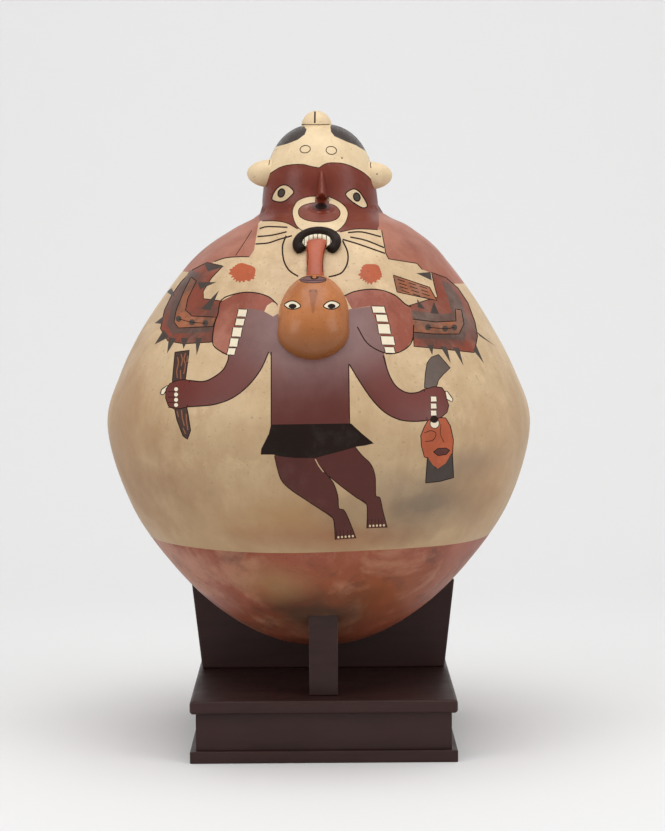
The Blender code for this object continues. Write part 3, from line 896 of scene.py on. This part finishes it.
def paint_wings(p):
    outer = [
        (223, 266), (207, 262.5), (192.9, 269.6), (181, 282), (172, 294.6), (164.5, 310), (160.5, 328.6),
        (167.9, 341), (183.9, 343.8), (212.5, 342), (219, 314.3), (225, 301.5), (203.5, 298.6),
        (203.2, 291.3), (211.7, 277.8)]
    spikes = [
        ((154.5, 323.2), (163.5, 316), (162.5, 324)), ((154.5, 344.6), (163.5, 330), (169, 337)),
        ((167, 353.6), (169, 337), (176, 339)), ((183.5, 349), (181, 338), (188.5, 338)),
        ((196.6, 355.4), (195.5, 338), (202, 338)), ((224.5, 266.6), (204, 262.8), (208, 271.5)),
        ((216.5, 282), (197.5, 282.2), (200, 289.5)), ((219, 290.4), (201, 309), (210.5, 310.5)),
        ((166, 292), (172, 288), (175, 297))]
    panel = [
        (191, 277), (184, 291), (176.5, 309), (174, 322), (178.5, 328), (213, 326.5), (216.2, 317.2),
        (192, 316), (185.5, 310), (188, 298), (196.5, 281)]
    spots = [(178.6, 318.8), (192, 322.3), (205.4, 323.2)]
    path = [
        (190, 270), (182, 283), (172, 305), (167, 325), (172, 334), (211, 332), (214, 322), (183, 322),
        (182, 308), (190, 288), (199, 273)]
    paint_wing(p, outer, spikes, panel, spots, path)
    outer = [
        (408, 306), (424, 301), (437.5, 297), (435, 288), (431.4, 272.4), (445.7, 277.5), (458, 288),
        (468, 303), (475, 322), (477.6, 336), (474.3, 352.6), (438.6, 348.6), (414, 346.4), (413, 325)]
    spikes = [
        ((416.3, 273.2), (430.5, 272), (431.8, 280.5)), ((432.3, 355.4), (427.5, 345), (433.5, 345)),
        ((450.7, 363.4), (440, 346), (447, 347)), ((463.6, 366), (452.5, 347), (459, 348)),
        ((484, 363.4), (473, 350), (476.4, 345.5)), ((495.7, 346.4), (476, 331), (479.6, 336)),
        ((417, 299), (418, 307.5), (425, 309)), ((433.8, 301.5), (430.5, 313), (439, 314))]
    panel = [
        (412, 319), (436, 322), (456, 321), (455.5, 309), (461.5, 310), (464, 324), (459, 334), (434, 334),
        (413.5, 332)]
    spots = [(428, 327.2), (445, 328.8), (454.3, 327.4)]
    path = [
        (410, 310), (440, 314), (452, 313), (447, 296), (441, 280), (450, 284), (461, 300), (468, 322),
        (465, 340), (414, 338)]
    paint_wing(p, outer, spikes, panel, spots, path)
    p.outlined("wing_orange_slip", [(393.2, 275), (429.6, 287.3), (436.8, 300.5), (397, 292)], 0.9)
    for row in range(4):
        for column in range(3):
            x = 397.5 + 11 * column + 1.4 * row
            y = 279.3 + 3.4 * column + 3.7 * row
            p.line([(x, y), (x + 7.5, y + 2.4)], 0.8)


def paint_arms(p):
    under_left = [
        (268.8, 351.8), (260.7, 369.6), (248.2, 385.7), (232, 398.2), (214.3, 404.5), (196.4, 406.3)]
    under_right = [(349.3, 364.3), (360, 382), (372.5, 400), (385, 412.5), (399.3, 419.6), (413.6, 421.4)]
    left_top = [(235.7, 293.8), (251.8, 292.3), (267.9, 296.4), (277.6, 304.6)]
    right_top = [(356.4, 291), (376, 289.3), (393.9, 294.6), (404.6, 303.6)]
    left_back = [(217.9, 314.3), (214.3, 325), (212.5, 341), (216, 348.2)]
    right_back = [(413.6, 325), (412.7, 339.3), (406.4, 348.2), (393.9, 353.6)]
    p.fill("torso_plum_slip", [
        (246, 308), (264, 310), (277, 314), (344, 306), (352, 309), (372, 306), (391, 349), (384, 353),
        (388.6, 373.2), (395.7, 385.7), (406.4, 392.9), (417, 392.9), (424.3, 389.3), (430, 404),
        (427.9, 420.5), *under_right[::-1], (348.9, 425), (271.2, 425), (271.2, 357),
        *under_left, (185.7, 407), (184.8, 378.6), (189.3, 380.4), (203.6, 382), (214.3, 376.8),
        (223.2, 369.6), (227.7, 360.7), (230, 352), (238, 322)])
    p.fill("arm_red_slip", [
        (222.4, 300.6), *left_top, (277, 313), (262, 310.5), (247, 308), (241, 320), (236, 335),
        (230, 354.5), (223, 354), *left_back[::-1]])
    p.fill("arm_red_slip", [
        (343.9, 295.5), *right_top, (411, 308), *right_back, (386, 354.5), (381, 339), (376, 322),
        (370, 306), (352, 309)])
    p.fill("cream_slip", [(264.3, 311.5), (267, 305.5), (272, 302.3), (276, 303), (279, 313), (273, 316.5)])
    p.fill("cream_slip", [(343.4, 297.5), (345.6, 297), (351.4, 308.6), (344.6, 311)])
    blocks = [
        (242.2, 313, 9.2, 8), (239.9, 322, 8.8, 7.6), (237, 332, 9.5, 10), (233.9, 342.5, 8.5, 9.2),
        (231.4, 351.4, 7.8, 7.3), (378.7, 309.6, 13, 7.3), (381.9, 318.1, 11.6, 8),
        (384.1, 328.8, 12.3, 10.6), (387.8, 340.5, 13.3, 9.4), (389.7, 350, 10, 6.8)]
    for x, y, width, height in blocks:
        lean = 0.8 if x < 300 else -0.8
        corners = [
            (x - width / 2 + lean, y - height / 2), (x + width / 2 + lean, y - height / 2 + 0.4),
            (x + width / 2 - lean, y + height / 2), (x - width / 2 - lean, y + height / 2 - 0.4)]
        p.outlined("white_slip", corners, 0.8)
    arcs = (
        [(217.9, 314.3), (221.4, 300), *left_top],
        [(343.9, 296), *right_top, (411, 307)],
        [*left_back, (227, 354.8)],
        [*right_back, (381.4, 351.8), (367, 342.9), (357.3, 326.8)],
        [(228.6, 355), (227.7, 360.7), (223.2, 369.6), (214.3, 376.8), (203.6, 381.4), (189.3, 380.4)],
        [*under_left, (186, 407)],
        [(383.2, 355.4), (388.6, 373.2), (395.7, 385.7), (406.4, 392.5), (417, 392.5), (424.3, 389.3)],
        [*under_right, (427, 420.5)],
    )
    for arc in arcs:
        p.line(arc, 1.2)
    p.line([(271.2, 352), (271.2, 425)], 1.1, smooth=False)
    p.line([(348.7, 364), (349.6, 423.5)], 1.1, smooth=False)


def paint_left_hand(p):
    staff = [
        (175, 352.2), (189.3, 350.2), (185.4, 380), (184.6, 398), (187.8, 412), (190.7, 430.4),
        (187.5, 439.3), (183, 436), (176.8, 419.6), (173.2, 402), (172.4, 380)]
    p.outlined("staff_brown_slip", staff, 0.9)
    streaks = [
        [(177.6, 357), (178.4, 363), (176.8, 371), (177.4, 378)],
        [(181, 354), (182.4, 360), (181, 366)],
        [(185.6, 353), (184, 359), (185.4, 365), (183.6, 374)],
        [(187.6, 356), (187, 362)], [(180.4, 370), (180.8, 379)], [(177, 411), (178.6, 417)],
        [(181.6, 410), (182.2, 417), (184.4, 426)], [(186.2, 414), (186.6, 422), (188, 430)],
        [(183, 428), (185.6, 434)],
    ]
    for streak in streaks:
        p.line(streak, 1.1, "staff_streak_slip")
    p.outlined("white_slip", [
        (160.3, 394.4), (161.5, 389.5), (167.4, 385.3), (167.6, 388.6), (163.6, 394.6)], 1.0)
    p.outlined("torso_plum_slip", [
        (189.3, 380.4), (184, 379.6), (178, 380.2), (170, 383.4), (166, 389), (165.6, 398), (168.4, 406),
        (174, 409), (181, 408.4), (187, 407), (189, 396)], 0.9)
    for y in (389.2, 394.5, 399.8, 405):
        p.outlined("white_slip", oval(176.1, y, 2.3, 2.3, count=10), 0.5)
        p.line([(168, y + 2.6), (174.6, y + 2.6)], 0.7)
    p.fill("torso_plum_slip", [(184, 382), (194, 383), (194, 404), (184, 405)])


def paint_right_hand(p):
    p.outlined("blade_grey_slip", [
        (438.6, 354.5), (450.2, 367.9), (443.6, 374), (438.6, 380), (435.9, 388.8), (424.3, 388),
        (425.2, 374), (427, 363), (431.4, 357)], 0.8)
    p.outlined("spot_orange_slip", [
        (430, 417), (424.3, 426.8), (420.7, 435.7), (421.4, 446), (424.3, 457), (437, 461), (452.4, 456),
        (453.4, 440), (450.4, 426), (445.7, 417.9)], 0.9)
    p.line([(424.4, 433), (431, 430.6), (436, 433.6), (433, 440), (425, 441.6)], 0.7)
    p.line([(441, 424), (440.4, 434), (444, 442)], 0.6)
    p.outlined("spike_grey_slip", [
        (427.4, 457), (437.7, 469.4), (452.4, 453), (453.6, 477.6), (440, 481.4), (425.5, 483)], 0.9)
    p.fill("spot_orange_slip", [(428, 458), (451, 454), (446, 463), (438, 468.6), (433, 465)])
    p.outlined("leg_red_slip", [
        (433.4, 452), (438, 448.4), (446, 448), (449.8, 450.4), (446, 454.6), (438, 455.6)], 0.8)
    p.outlined("white_slip", [
        (444.6, 391.6), (447.2, 391.2), (452.9, 399), (452, 402), (447.4, 399.6), (444, 396)], 0.9)
    p.outlined("torso_plum_slip", [
        (424.3, 389.3), (434.3, 386.6), (442, 387.6), (445.2, 392.4), (446.6, 399), (448.8, 405.4),
        (447, 412.4), (441, 417.4), (433, 420), (427, 420)], 0.9)
    p.fill("torso_plum_slip", [(421, 392), (429, 391), (429.6, 417), (421, 418)])
    for y in (399, 406, 413):
        p.outlined("white_slip", [
            (430.6, y - 2.8), (436.4, y - 2.6), (436.8, y + 2.6), (430.8, y + 2.8)], 0.6)
    p.outlined("white_slip", oval(434.6, 423.4, 4.6, 5.0, count=12), 0.7)
    p.fill("line_black_slip", oval(434.2, 419.4, 4.2, 3.6, count=10))


def paint_legs(p):
    left_outer = [
        (277.6, 469.4), (281.6, 480.6), (290.8, 489.8), (306, 500), (321.4, 510.2), (333.2, 518.9),
        (335.2, 539.8)]
    left_inner = [
        (356, 538.3), (352, 527.6), (346.9, 515.3), (343.4, 509.7), (338.8, 508.2), (337.8, 495.9),
        (333.7, 483.7), (327.6, 475.5), (322, 468)]
    right_inner = [(328.6, 476), (341.8, 486.7), (357, 498), (366.8, 505), (366.8, 528.4)]
    right_outer = [
        (387.2, 527.6), (382.7, 510.2), (380, 498), (376, 495.9), (375.5, 486.7), (375, 475.5),
        (370.9, 464.3), (362.2, 455.6)]
    p.fill("leg_red_slip", [(274.5, 455), *left_outer, *left_inner, (315.3, 456)])
    p.fill("leg_red_slip", [(315.3, 456), (322, 468), *right_inner, *right_outer, (355, 446)])
    for edge in ([(274.5, 456), *left_outer], left_inner, right_inner, [*right_outer, (356, 448)]):
        p.line(edge, 0.9)
    p.line([(315.3, 459.2), (319, 466), (323.5, 472)], 1.1, "cream_slip")
    toes = 5
    for x0, y0, x1, y1 in ((336.6, 537.4, 354.6, 536.0), (368.2, 526.0, 385.6, 525.2)):
        for i in range(toes):
            x = x0 + (x1 - x0) * (i + 0.5) / toes
            y = y0 + (y1 - y0) * (i + 0.5) / toes
            p.fill("head_cream_slip", oval(x, y, 1.1, 1.2, count=8))
            p.line([(x - 1.9, y - 6.5), (x - 1.9, y + 1.5)], 0.5)
    p.fill("belt_black_slip", [
        (270.9, 424.6), (351, 423.4), (362, 433.6), (374, 443.4), (364.6, 445.6), (357, 446.6), (350, 448.6),
        (338, 452), (325, 455.4), (315.3, 458), (295, 458), (277.6, 456), (273.5, 454.6), (260.7, 454.6),
        (261.2, 449), (268.9, 433.7)])


def jar_bands(skin):
    """The zones of slip that run all the way round, in domain coordinates."""
    angles = np.linspace(-math.pi, math.pi, 91)
    front = (1 + np.cos(angles)) / 2
    ripple = GROUND_RIPPLE * (np.sin(2 * angles + 0.8) + 0.4 * np.sin(5 * angles))

    def band(paint, bottom, top):
        """Paint between two edges, each given as travels at all the angles."""
        x = angles * skin.reach * UNIT
        lower = np.stack([x, bottom * UNIT], axis=-1)
        upper = np.stack([x, top * UNIT], axis=-1)
        return paint, np.concatenate([lower, upper[::-1]])

    def level(height):
        return skin.travel_at(height + 0 * angles)

    foot = 0 * angles
    crown = skin.length + foot
    ground_top = skin.travel_at(GROUND_TOP + ripple * front)
    shoulder_low = skin.travel_at(SHOULDER_LOW - SHOULDER_TILT * np.sin(angles))
    return [band("fired_red_ground", foot, ground_top),
            band("shoulder_red_slip", shoulder_low, level(SHOULDER_HIGH)),
            band("face_red_slip", level(FACE_LOW), crown), band("hair_slip", level(HAIR_LOW), crown),
            band("head_cream_slip", level(BAND_LOW), level(BAND_HIGH))]


def paint_jar():
    p = Painting()
    paint_head(p)
    paint_chest(p)
    paint_wings(p)
    paint_arms(p)
    paint_legs(p)
    paint_left_hand(p)
    paint_right_hand(p)
    return p


# The parts modelled in clay


def on_front(x, height_share, proud):
    return (x, -body_radius(height_share) - proud, height_share * JAR_HEIGHT)


def skin_point(x, z, proud):
    """A point in front of the figure's skin by a distance, seen from the front at x and z."""
    origin = np.array([0, 0, z])
    radius = body_radius(z / JAR_HEIGHT)
    angle = 0.0
    for _ in range(8):
        direction = np.array([math.sin(angle), -math.cos(angle), 0])
        distance = float(modelled(origin, direction, radius))
        angle = math.asin(x / distance)
    return origin + (distance + proud) * direction


def tube_mesh(name, path, half_sizes, base_paint, painting, steps=8, sides=28):
    """A closed tube along a path across the front, with a half width and a half depth at each point."""
    coarse = np.arange(len(path))
    fine = np.linspace(0, len(path) - 1, (len(path) - 1) * steps + 1)
    curve = np.array(rounded(path, closed=False, steps=steps))
    sizes = np.stack([np.interp(fine, coarse, column) for column in np.array(half_sizes).T], axis=-1)
    along = np.gradient(curve, axis=0)
    along /= np.linalg.norm(along, axis=1, keepdims=True)
    outwards = curve * (1, 1, 0)
    outwards -= (outwards * along).sum(axis=1, keepdims=True) * along
    outwards /= np.linalg.norm(outwards, axis=1, keepdims=True)
    sideways = np.cross(outwards, along)
    turn = np.arange(sides) / sides * math.tau
    least = 1e-5
    rings = []
    for cap in np.linspace(0, 1, 6)[:-1]:
        a = (1 - cap) * math.pi / 2
        centre = curve[0] - along[0] * (min(sizes[0]) / 2 * math.sin(a))
        rings.append((centre, sizes[0] * math.cos(a) + least, sideways[0], outwards[0]))
    rings += list(zip(curve, sizes, sideways, outwards))
    for cap in np.linspace(0, 1, 6)[1:]:
        a = cap * math.pi / 2
        centre = curve[-1] + along[-1] * (min(sizes[-1]) / 2 * math.sin(a))
        rings.append((centre, sizes[-1] * math.cos(a) + least, sideways[-1], outwards[-1]))
    points = []
    for centre, (width, depth), across, out in rings:
        points += [centre + width * math.cos(t) * across + depth * math.sin(t) * out for t in turn]
    count = len(rings)
    faces = []
    for r in range(count - 1):
        for s in range(sides):
            a, b = r * sides + s, r * sides + (s + 1) % sides
            faces += [(a, b, b + sides), (a, b + sides, a + sides)]
    first, last = len(points), len(points) + 1
    points += [rings[0][0], rings[-1][0]]
    for s in range(sides):
        faces.append((first, (s + 1) % sides, s))
        faces.append((last, (count - 1) * sides + s, (count - 1) * sides + (s + 1) % sides))
    placed = in_place(np.array(points))
    centres = view_pixels(placed[np.array(faces)].mean(axis=1))
    paints = np.full(len(faces), PAINT_NAMES.index(base_paint))
    for paint, polygon in painting.shapes:
        paints[inside(np.array(polygon), centres)] = PAINT_NAMES.index(paint)
    return mesh_of(name, placed, faces, paints)


def ear_mesh(name, side):
    height = 90.25 - 0.25 * side
    end = Lobe((side * share(9.3), share(-2.2), share(height)), shares(4.5, 2.3, 2.65))
    p = Painting()
    if side < 0:
        p.line([(268.5, 157), (269.6, 161), (268.8, 165)], 0.8)
    else:
        p.line([(371.6, 160), (370.4, 164), (371, 168)], 0.8)
        p.fill("line_black_slip", oval(377, 174, 0.8, 0.7, count=7))
    return painted_mesh(name, LumpSkin(end.centre, [end], 1), "head_cream_slip", [], p)


def knob_mesh():
    middle = shares(-0.5, -1.6, 99.3)
    knob = Lobe(middle, shares(2.9, 2.4, 3.0))
    p = Painting()
    p.line([(315, 111.5), (314.9, 116), (314.8, 123)], 1.6, smooth=False)
    p.line([(301.5, 124.4), (315, 124.6), (329.5, 124.4)], 0.7, smooth=False)
    return painted_mesh("crown_knob", LumpSkin(middle, [knob], 1), "head_cream_slip", [], p)


def nose_mesh():
    drops = np.linspace(0, 1, 5)
    path = [skin_point(*shares(0.35, 90.4 - 4.6 * drop, -0.3)) for drop in drops]
    sizes = [shares(0.45 + 0.65 * drop, 0.6 + 2.2 * drop) for drop in drops]
    return tube_mesh("nose", path, sizes, "face_red_slip", Painting())


def mouth_path(degrees, half_width, height, half_height, proud):
    """Points along an arc over the mouth, with lengths in hundredths of the jar's height."""
    path = []
    for angle in np.radians(degrees):
        x = -0.7 + half_width * math.cos(angle)
        z = height + half_height * math.sin(angle)
        path.append(skin_point(*shares(x, z, proud)))
    return path


def lips_mesh():
    path = mouth_path(np.linspace(218, -38, 15), 3.4, 77.4, 2.0, 0.5)
    return tube_mesh("lips", path, [shares(0.95, 1.05)] * len(path), "belt_black_slip", Painting())


def teeth_mesh():
    path = mouth_path(np.linspace(205, -25, 11), 2.3, 77.2, 1.2, 0.3)
    p = Painting()
    for x in (304.4, 308.9, 313.2, 317.6, 322.0, 326.4, 330.6):
        p.line([(x, 230), (x, 246)], 0.7, smooth=False)
    return tube_mesh("teeth", path, [shares(0.65, 0.6)] * len(path), "white_slip", p, 20, 32)


def tongue_mesh():
    course = ((-0.75, 77.4, 0.2), (-0.7, 75.4, 0.9), (-0.6, 73.4, 1.0), (-0.55, 71.2, 0.3))
    path = [skin_point(*shares(*place)) for place in course]
    sizes = [shares(half_width, 0.9) for half_width in (2.0, 1.6, 1.5, 1.6)]
    p = Painting()
    p.line([(305.6, 243), (308.2, 254), (306.6, 272)], 0.7)
    p.line([(326.6, 243), (323.2, 254), (322.2, 272)], 0.7)
    return tube_mesh("tongue", path, sizes, "tongue_red_slip", p, 14, 40)


def carried_head_skin(inset=0.0):
    face = Lobe(on_front(share(-0.68), 0.6405, share(-0.4)), shares(6.3, 5.6, 8.4), 32)
    skull = Lobe(on_front(share(-0.68), 0.6140, share(-0.5)), shares(6.35, 5.2, 5.1), 32)
    lobes = [face, skull]
    if not inset:
        lobes.append(Lobe(on_front(share(-0.66), 0.6750, share(3.6)), shares(1.0, 1.4, 1.5), 45))
        lobes.append(Lobe(on_front(share(-0.60), 0.7040, share(1.9)), shares(2.0, 1.0, 0.7), 45))
    return LumpSkin(face.centre, lobes, share(0.8), inset)


def carried_head_mesh():
    """The head held upside down: lips above, eyes below them."""
    p = Painting()
    p.outlined("carried_lip_slip", oval(313, 279.6, 13.4, 3.4, count=18), 0.7)
    p.line([(300.5, 279.8), (313, 280.4), (325.5, 279.8)], 0.7)
    for x, out in ((292.6, -1), (331.6, 1)):
        almond = [(x + out * 8.2, 304.6), (x + out * 4, 301.6), (x - out * 1, 301), (x - out * 5.5, 303),
                  (x - out * 8, 306.4), (x - out * 4, 308.6), (x + out * 1, 309.2), (x + out * 5.5, 307.6)]
        p.outlined("white_slip", almond, 1.1, smooth=True)
        p.fill("belt_black_slip", oval(x, 306.2, 4.0, 2.5, count=14))
    p.fill("carried_nose_slip", [(309, 290), (317.4, 290), (317, 297), (314.8, 306), (314, 313), (312, 313),
                                 (311.2, 306), (309.6, 297)], smooth=True)
    for x in (310.4, 316.0):
        p.fill("carried_shade_slip", oval(x, 291.0, 1.4, 1.1, count=9))
    return painted_mesh("carried_head", carried_head_skin(), "carried_skin_slip", [], p)


def stacked_faces(rings, spokes):
    """Triangles over a stack of rings, with the first point below them and the last above."""
    top = 1 + (rings - 1) * spokes
    last = top + spokes
    faces = []
    for s in range(spokes):
        following = (s + 1) % spokes
        faces.append((0, 1 + following, 1 + s))
        for r in range(rings - 1):
            a, b = 1 + r * spokes + s, 1 + r * spokes + following
            faces += [(a, b, b + spokes), (a, b + spokes, a + spokes)]
        faces.append((last, top + s, top + following))
    return faces


def turned_mesh(name, section, spokes, paint):
    """A closed mesh spun about the mouth's axis from a section that starts and ends on it."""
    points = [(0, 0, section[0][1])]
    for radius, height in section[1:-1]:
        points += [(radius * math.cos(t), radius * math.sin(t), height)
                   for t in np.arange(spokes) / spokes * math.tau]
    points.append((0, 0, section[-1][1]))
    faces = stacked_faces(len(section) - 2, spokes)
    middle = Vector((JAR_X + share(DRIFTS[-1]), 0, JAR_FOOT + UPPER_POLE * JAR_HEIGHT))
    turn = Matrix.Translation(middle) @ Matrix.Rotation(MOUTH_TILT - math.pi / 2, 4, "X")
    placed = np.array([tuple(turn @ Vector(p)) for p in points])
    return mesh_of(name, placed, faces, [PAINT_NAMES.index(paint)] * len(faces))


def collar_mesh():
    outer = MOUTH_RADIUS + COLLAR_WALL
    start = body_radius(UPPER_POLE) - 3 * WALL
    end = body_radius(UPPER_POLE) + COLLAR_STANDS_OUT
    easing = COLLAR_WALL / 2
    bend = np.radians(np.linspace(0, 90, 8))
    rim = [(outer - easing * (1 - math.cos(a)), end - easing * (1 - math.sin(a))) for a in bend]
    return turned_mesh("collar", [(0, start), (outer, start), *rim, (0, end)], 72, "head_cream_slip")


def bore_mesh():
    end = body_radius(UPPER_POLE) + COLLAR_STANDS_OUT
    easing = COLLAR_WALL / 2
    bend = np.radians(np.linspace(0, 80, 6))
    lip = [(MOUTH_RADIUS + easing * (1 - math.cos(a)), end - easing * (1 - math.sin(a))) for a in bend]
    section = [(0, BORE_REACH), (MOUTH_RADIUS, BORE_REACH), *lip, (MOUTH_RADIUS + easing, end + 2 * easing),
               (0, end + 2 * easing)]
    return turned_mesh("bore", section, 72, "bare_clay")


def cavity_mesh(rows=90, spokes=120):
    """The hollow inside, one wall thickness in from the surface."""
    radii, heights = offset_outline(-WALL)
    travel = np.concatenate([[0], np.cumsum(np.hypot(np.diff(radii), np.diff(heights)))])
    wanted = np.linspace(0, travel[-1], rows)
    radii, heights = np.interp(wanted, travel, radii), np.interp(wanted, travel, heights)
    angles = np.arange(spokes) / spokes * math.tau
    points = [tuple(turned_points(np.zeros(1), radii[:1], heights[:1])[0])]
    for radius, height in zip(radii[1:-1], heights[1:-1]):
        points += [tuple(p) for p in turned_points(angles, np.full(spokes, radius), np.full(spokes, height))]
    points.append(tuple(turned_points(np.zeros(1), radii[-1:], heights[-1:])[0]))
    faces = stacked_faces(rows - 2, spokes)
    return mesh_of("cavity", points, faces, [PAINT_NAMES.index("bare_clay")] * len(faces))


def joined(piece, mesh, operation):
    """Unites a mesh with the piece, or cuts it out, and applies the result."""
    other = bpy.data.objects.new(mesh.name + "_guide", mesh)
    bpy.context.collection.objects.link(other)
    modifier = piece.modifiers.new(mesh.name, "BOOLEAN")
    modifier.operation = operation
    modifier.solver = "MANIFOLD"
    modifier.object = other
    result = bpy.data.meshes.new_from_object(piece.evaluated_get(bpy.context.evaluated_depsgraph_get()))
    piece.modifiers.clear()
    before = piece.data
    piece.data = result
    bpy.data.meshes.remove(before)
    bpy.data.objects.remove(other)


def make_jar():
    skin = JarSkin()
    mesh = painted_mesh("effigy_jar_painted", skin, "cream_slip", jar_bands(skin), paint_jar())
    jar = bpy.data.objects.new("effigy_jar_painted", mesh)
    bpy.context.collection.objects.link(jar)
    for added in (ear_mesh("left_ear", -1), ear_mesh("right_ear", 1), knob_mesh(), nose_mesh(), lips_mesh(),
                  teeth_mesh(), tongue_mesh(), carried_head_mesh(), collar_mesh()):
        joined(jar, added, "UNION")
    hollow = painted_mesh("carried_head_hollow", carried_head_skin(WALL), "bare_clay", [], Painting())
    for removed in (cavity_mesh(), hollow, bore_mesh()):
        joined(jar, removed, "DIFFERENCE")
    jar.data.shade_smooth()
    jar.data.set_sharp_from_angle(angle=math.radians(55))
    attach(jar, "root")
    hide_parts("effigy_jar")
    return jar


def dress_stand():
    wood = make_wood()
    for name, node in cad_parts.items():
        if name != "effigy_jar":
            node.data.materials.clear()
            node.data.materials.append(wood)


# Floor, light and camera


def make_floor():
    """A pale floor that curves up into a backdrop."""
    half_width, front, back, bend, height = 3.0, -2.6, 1.6, 0.8, 3.0
    profile = [(front, 0.0), (back - bend, 0.0)]
    for a in np.radians(np.linspace(8, 82, 10)):
        profile.append((back - bend + bend * math.sin(a), bend - bend * math.cos(a)))
    profile += [(back, bend), (back, height)]
    drop = 0.0002
    points = [(x, y, z - drop) for y, z in profile for x in (-half_width, half_width)]
    faces = [(2 * i, 2 * i + 1, 2 * i + 3, 2 * i + 2) for i in range(len(profile) - 1)]
    mesh = bpy.data.meshes.new("studio_floor")
    mesh.from_pydata(points, [], faces)
    mesh.shade_smooth()
    material = bpy.data.materials.new("studio_paper")
    material.use_nodes = True
    shader = material.node_tree.nodes["Principled BSDF"]
    shader.inputs["Base Color"].default_value = (0.80, 0.80, 0.80, 1)
    shader.inputs["Roughness"].default_value = 0.9
    mesh.materials.append(material)
    floor = bpy.data.objects.new("studio_floor", mesh)
    bpy.context.collection.objects.link(floor)


def add_light(name, place, target, size, power):
    data = bpy.data.lights.new(name, "AREA")
    data.shape = "RECTANGLE"
    data.size, data.size_y = size
    data.energy = power
    light = bpy.data.objects.new(name, data)
    light.location = place
    light.rotation_euler = (Vector(target) - Vector(place)).to_track_quat("-Z", "Y").to_euler()
    bpy.context.collection.objects.link(light)


def make_light():
    middle = (0, 0, 0.3)
    add_light("overhead_softbox", (0.0, -0.5, 2.2), middle, (2.0, 1.6), 26)
    add_light("left_softbox", (-1.9, -1.3, 1.1), middle, (1.2, 1.6), 11)
    add_light("right_softbox", (2.0, -1.2, 1.2), middle, (1.2, 1.6), 13)
    world = bpy.data.worlds.new("studio")
    world.use_nodes = True
    background = world.node_tree.nodes["Background"]
    background.inputs["Color"].default_value = (1.0, 1.0, 1.0, 1)
    background.inputs["Strength"].default_value = 0.55
    bpy.context.scene.world = world
    bpy.context.scene.view_settings.view_transform = "Standard"


def make_camera():
    data = bpy.data.cameras.new("camera")
    data.sensor_width = SENSOR_MM
    data.lens = FOCAL_PIXELS * SENSOR_MM / VIEW_HEIGHT
    camera = bpy.data.objects.new("camera", data)
    camera.matrix_world = Matrix.Translation(EYE) @ CAMERA_TURN
    bpy.context.collection.objects.link(camera)
    bpy.context.scene.camera = camera


make_camera()
make_jar()
dress_stand()
make_floor()
make_light()
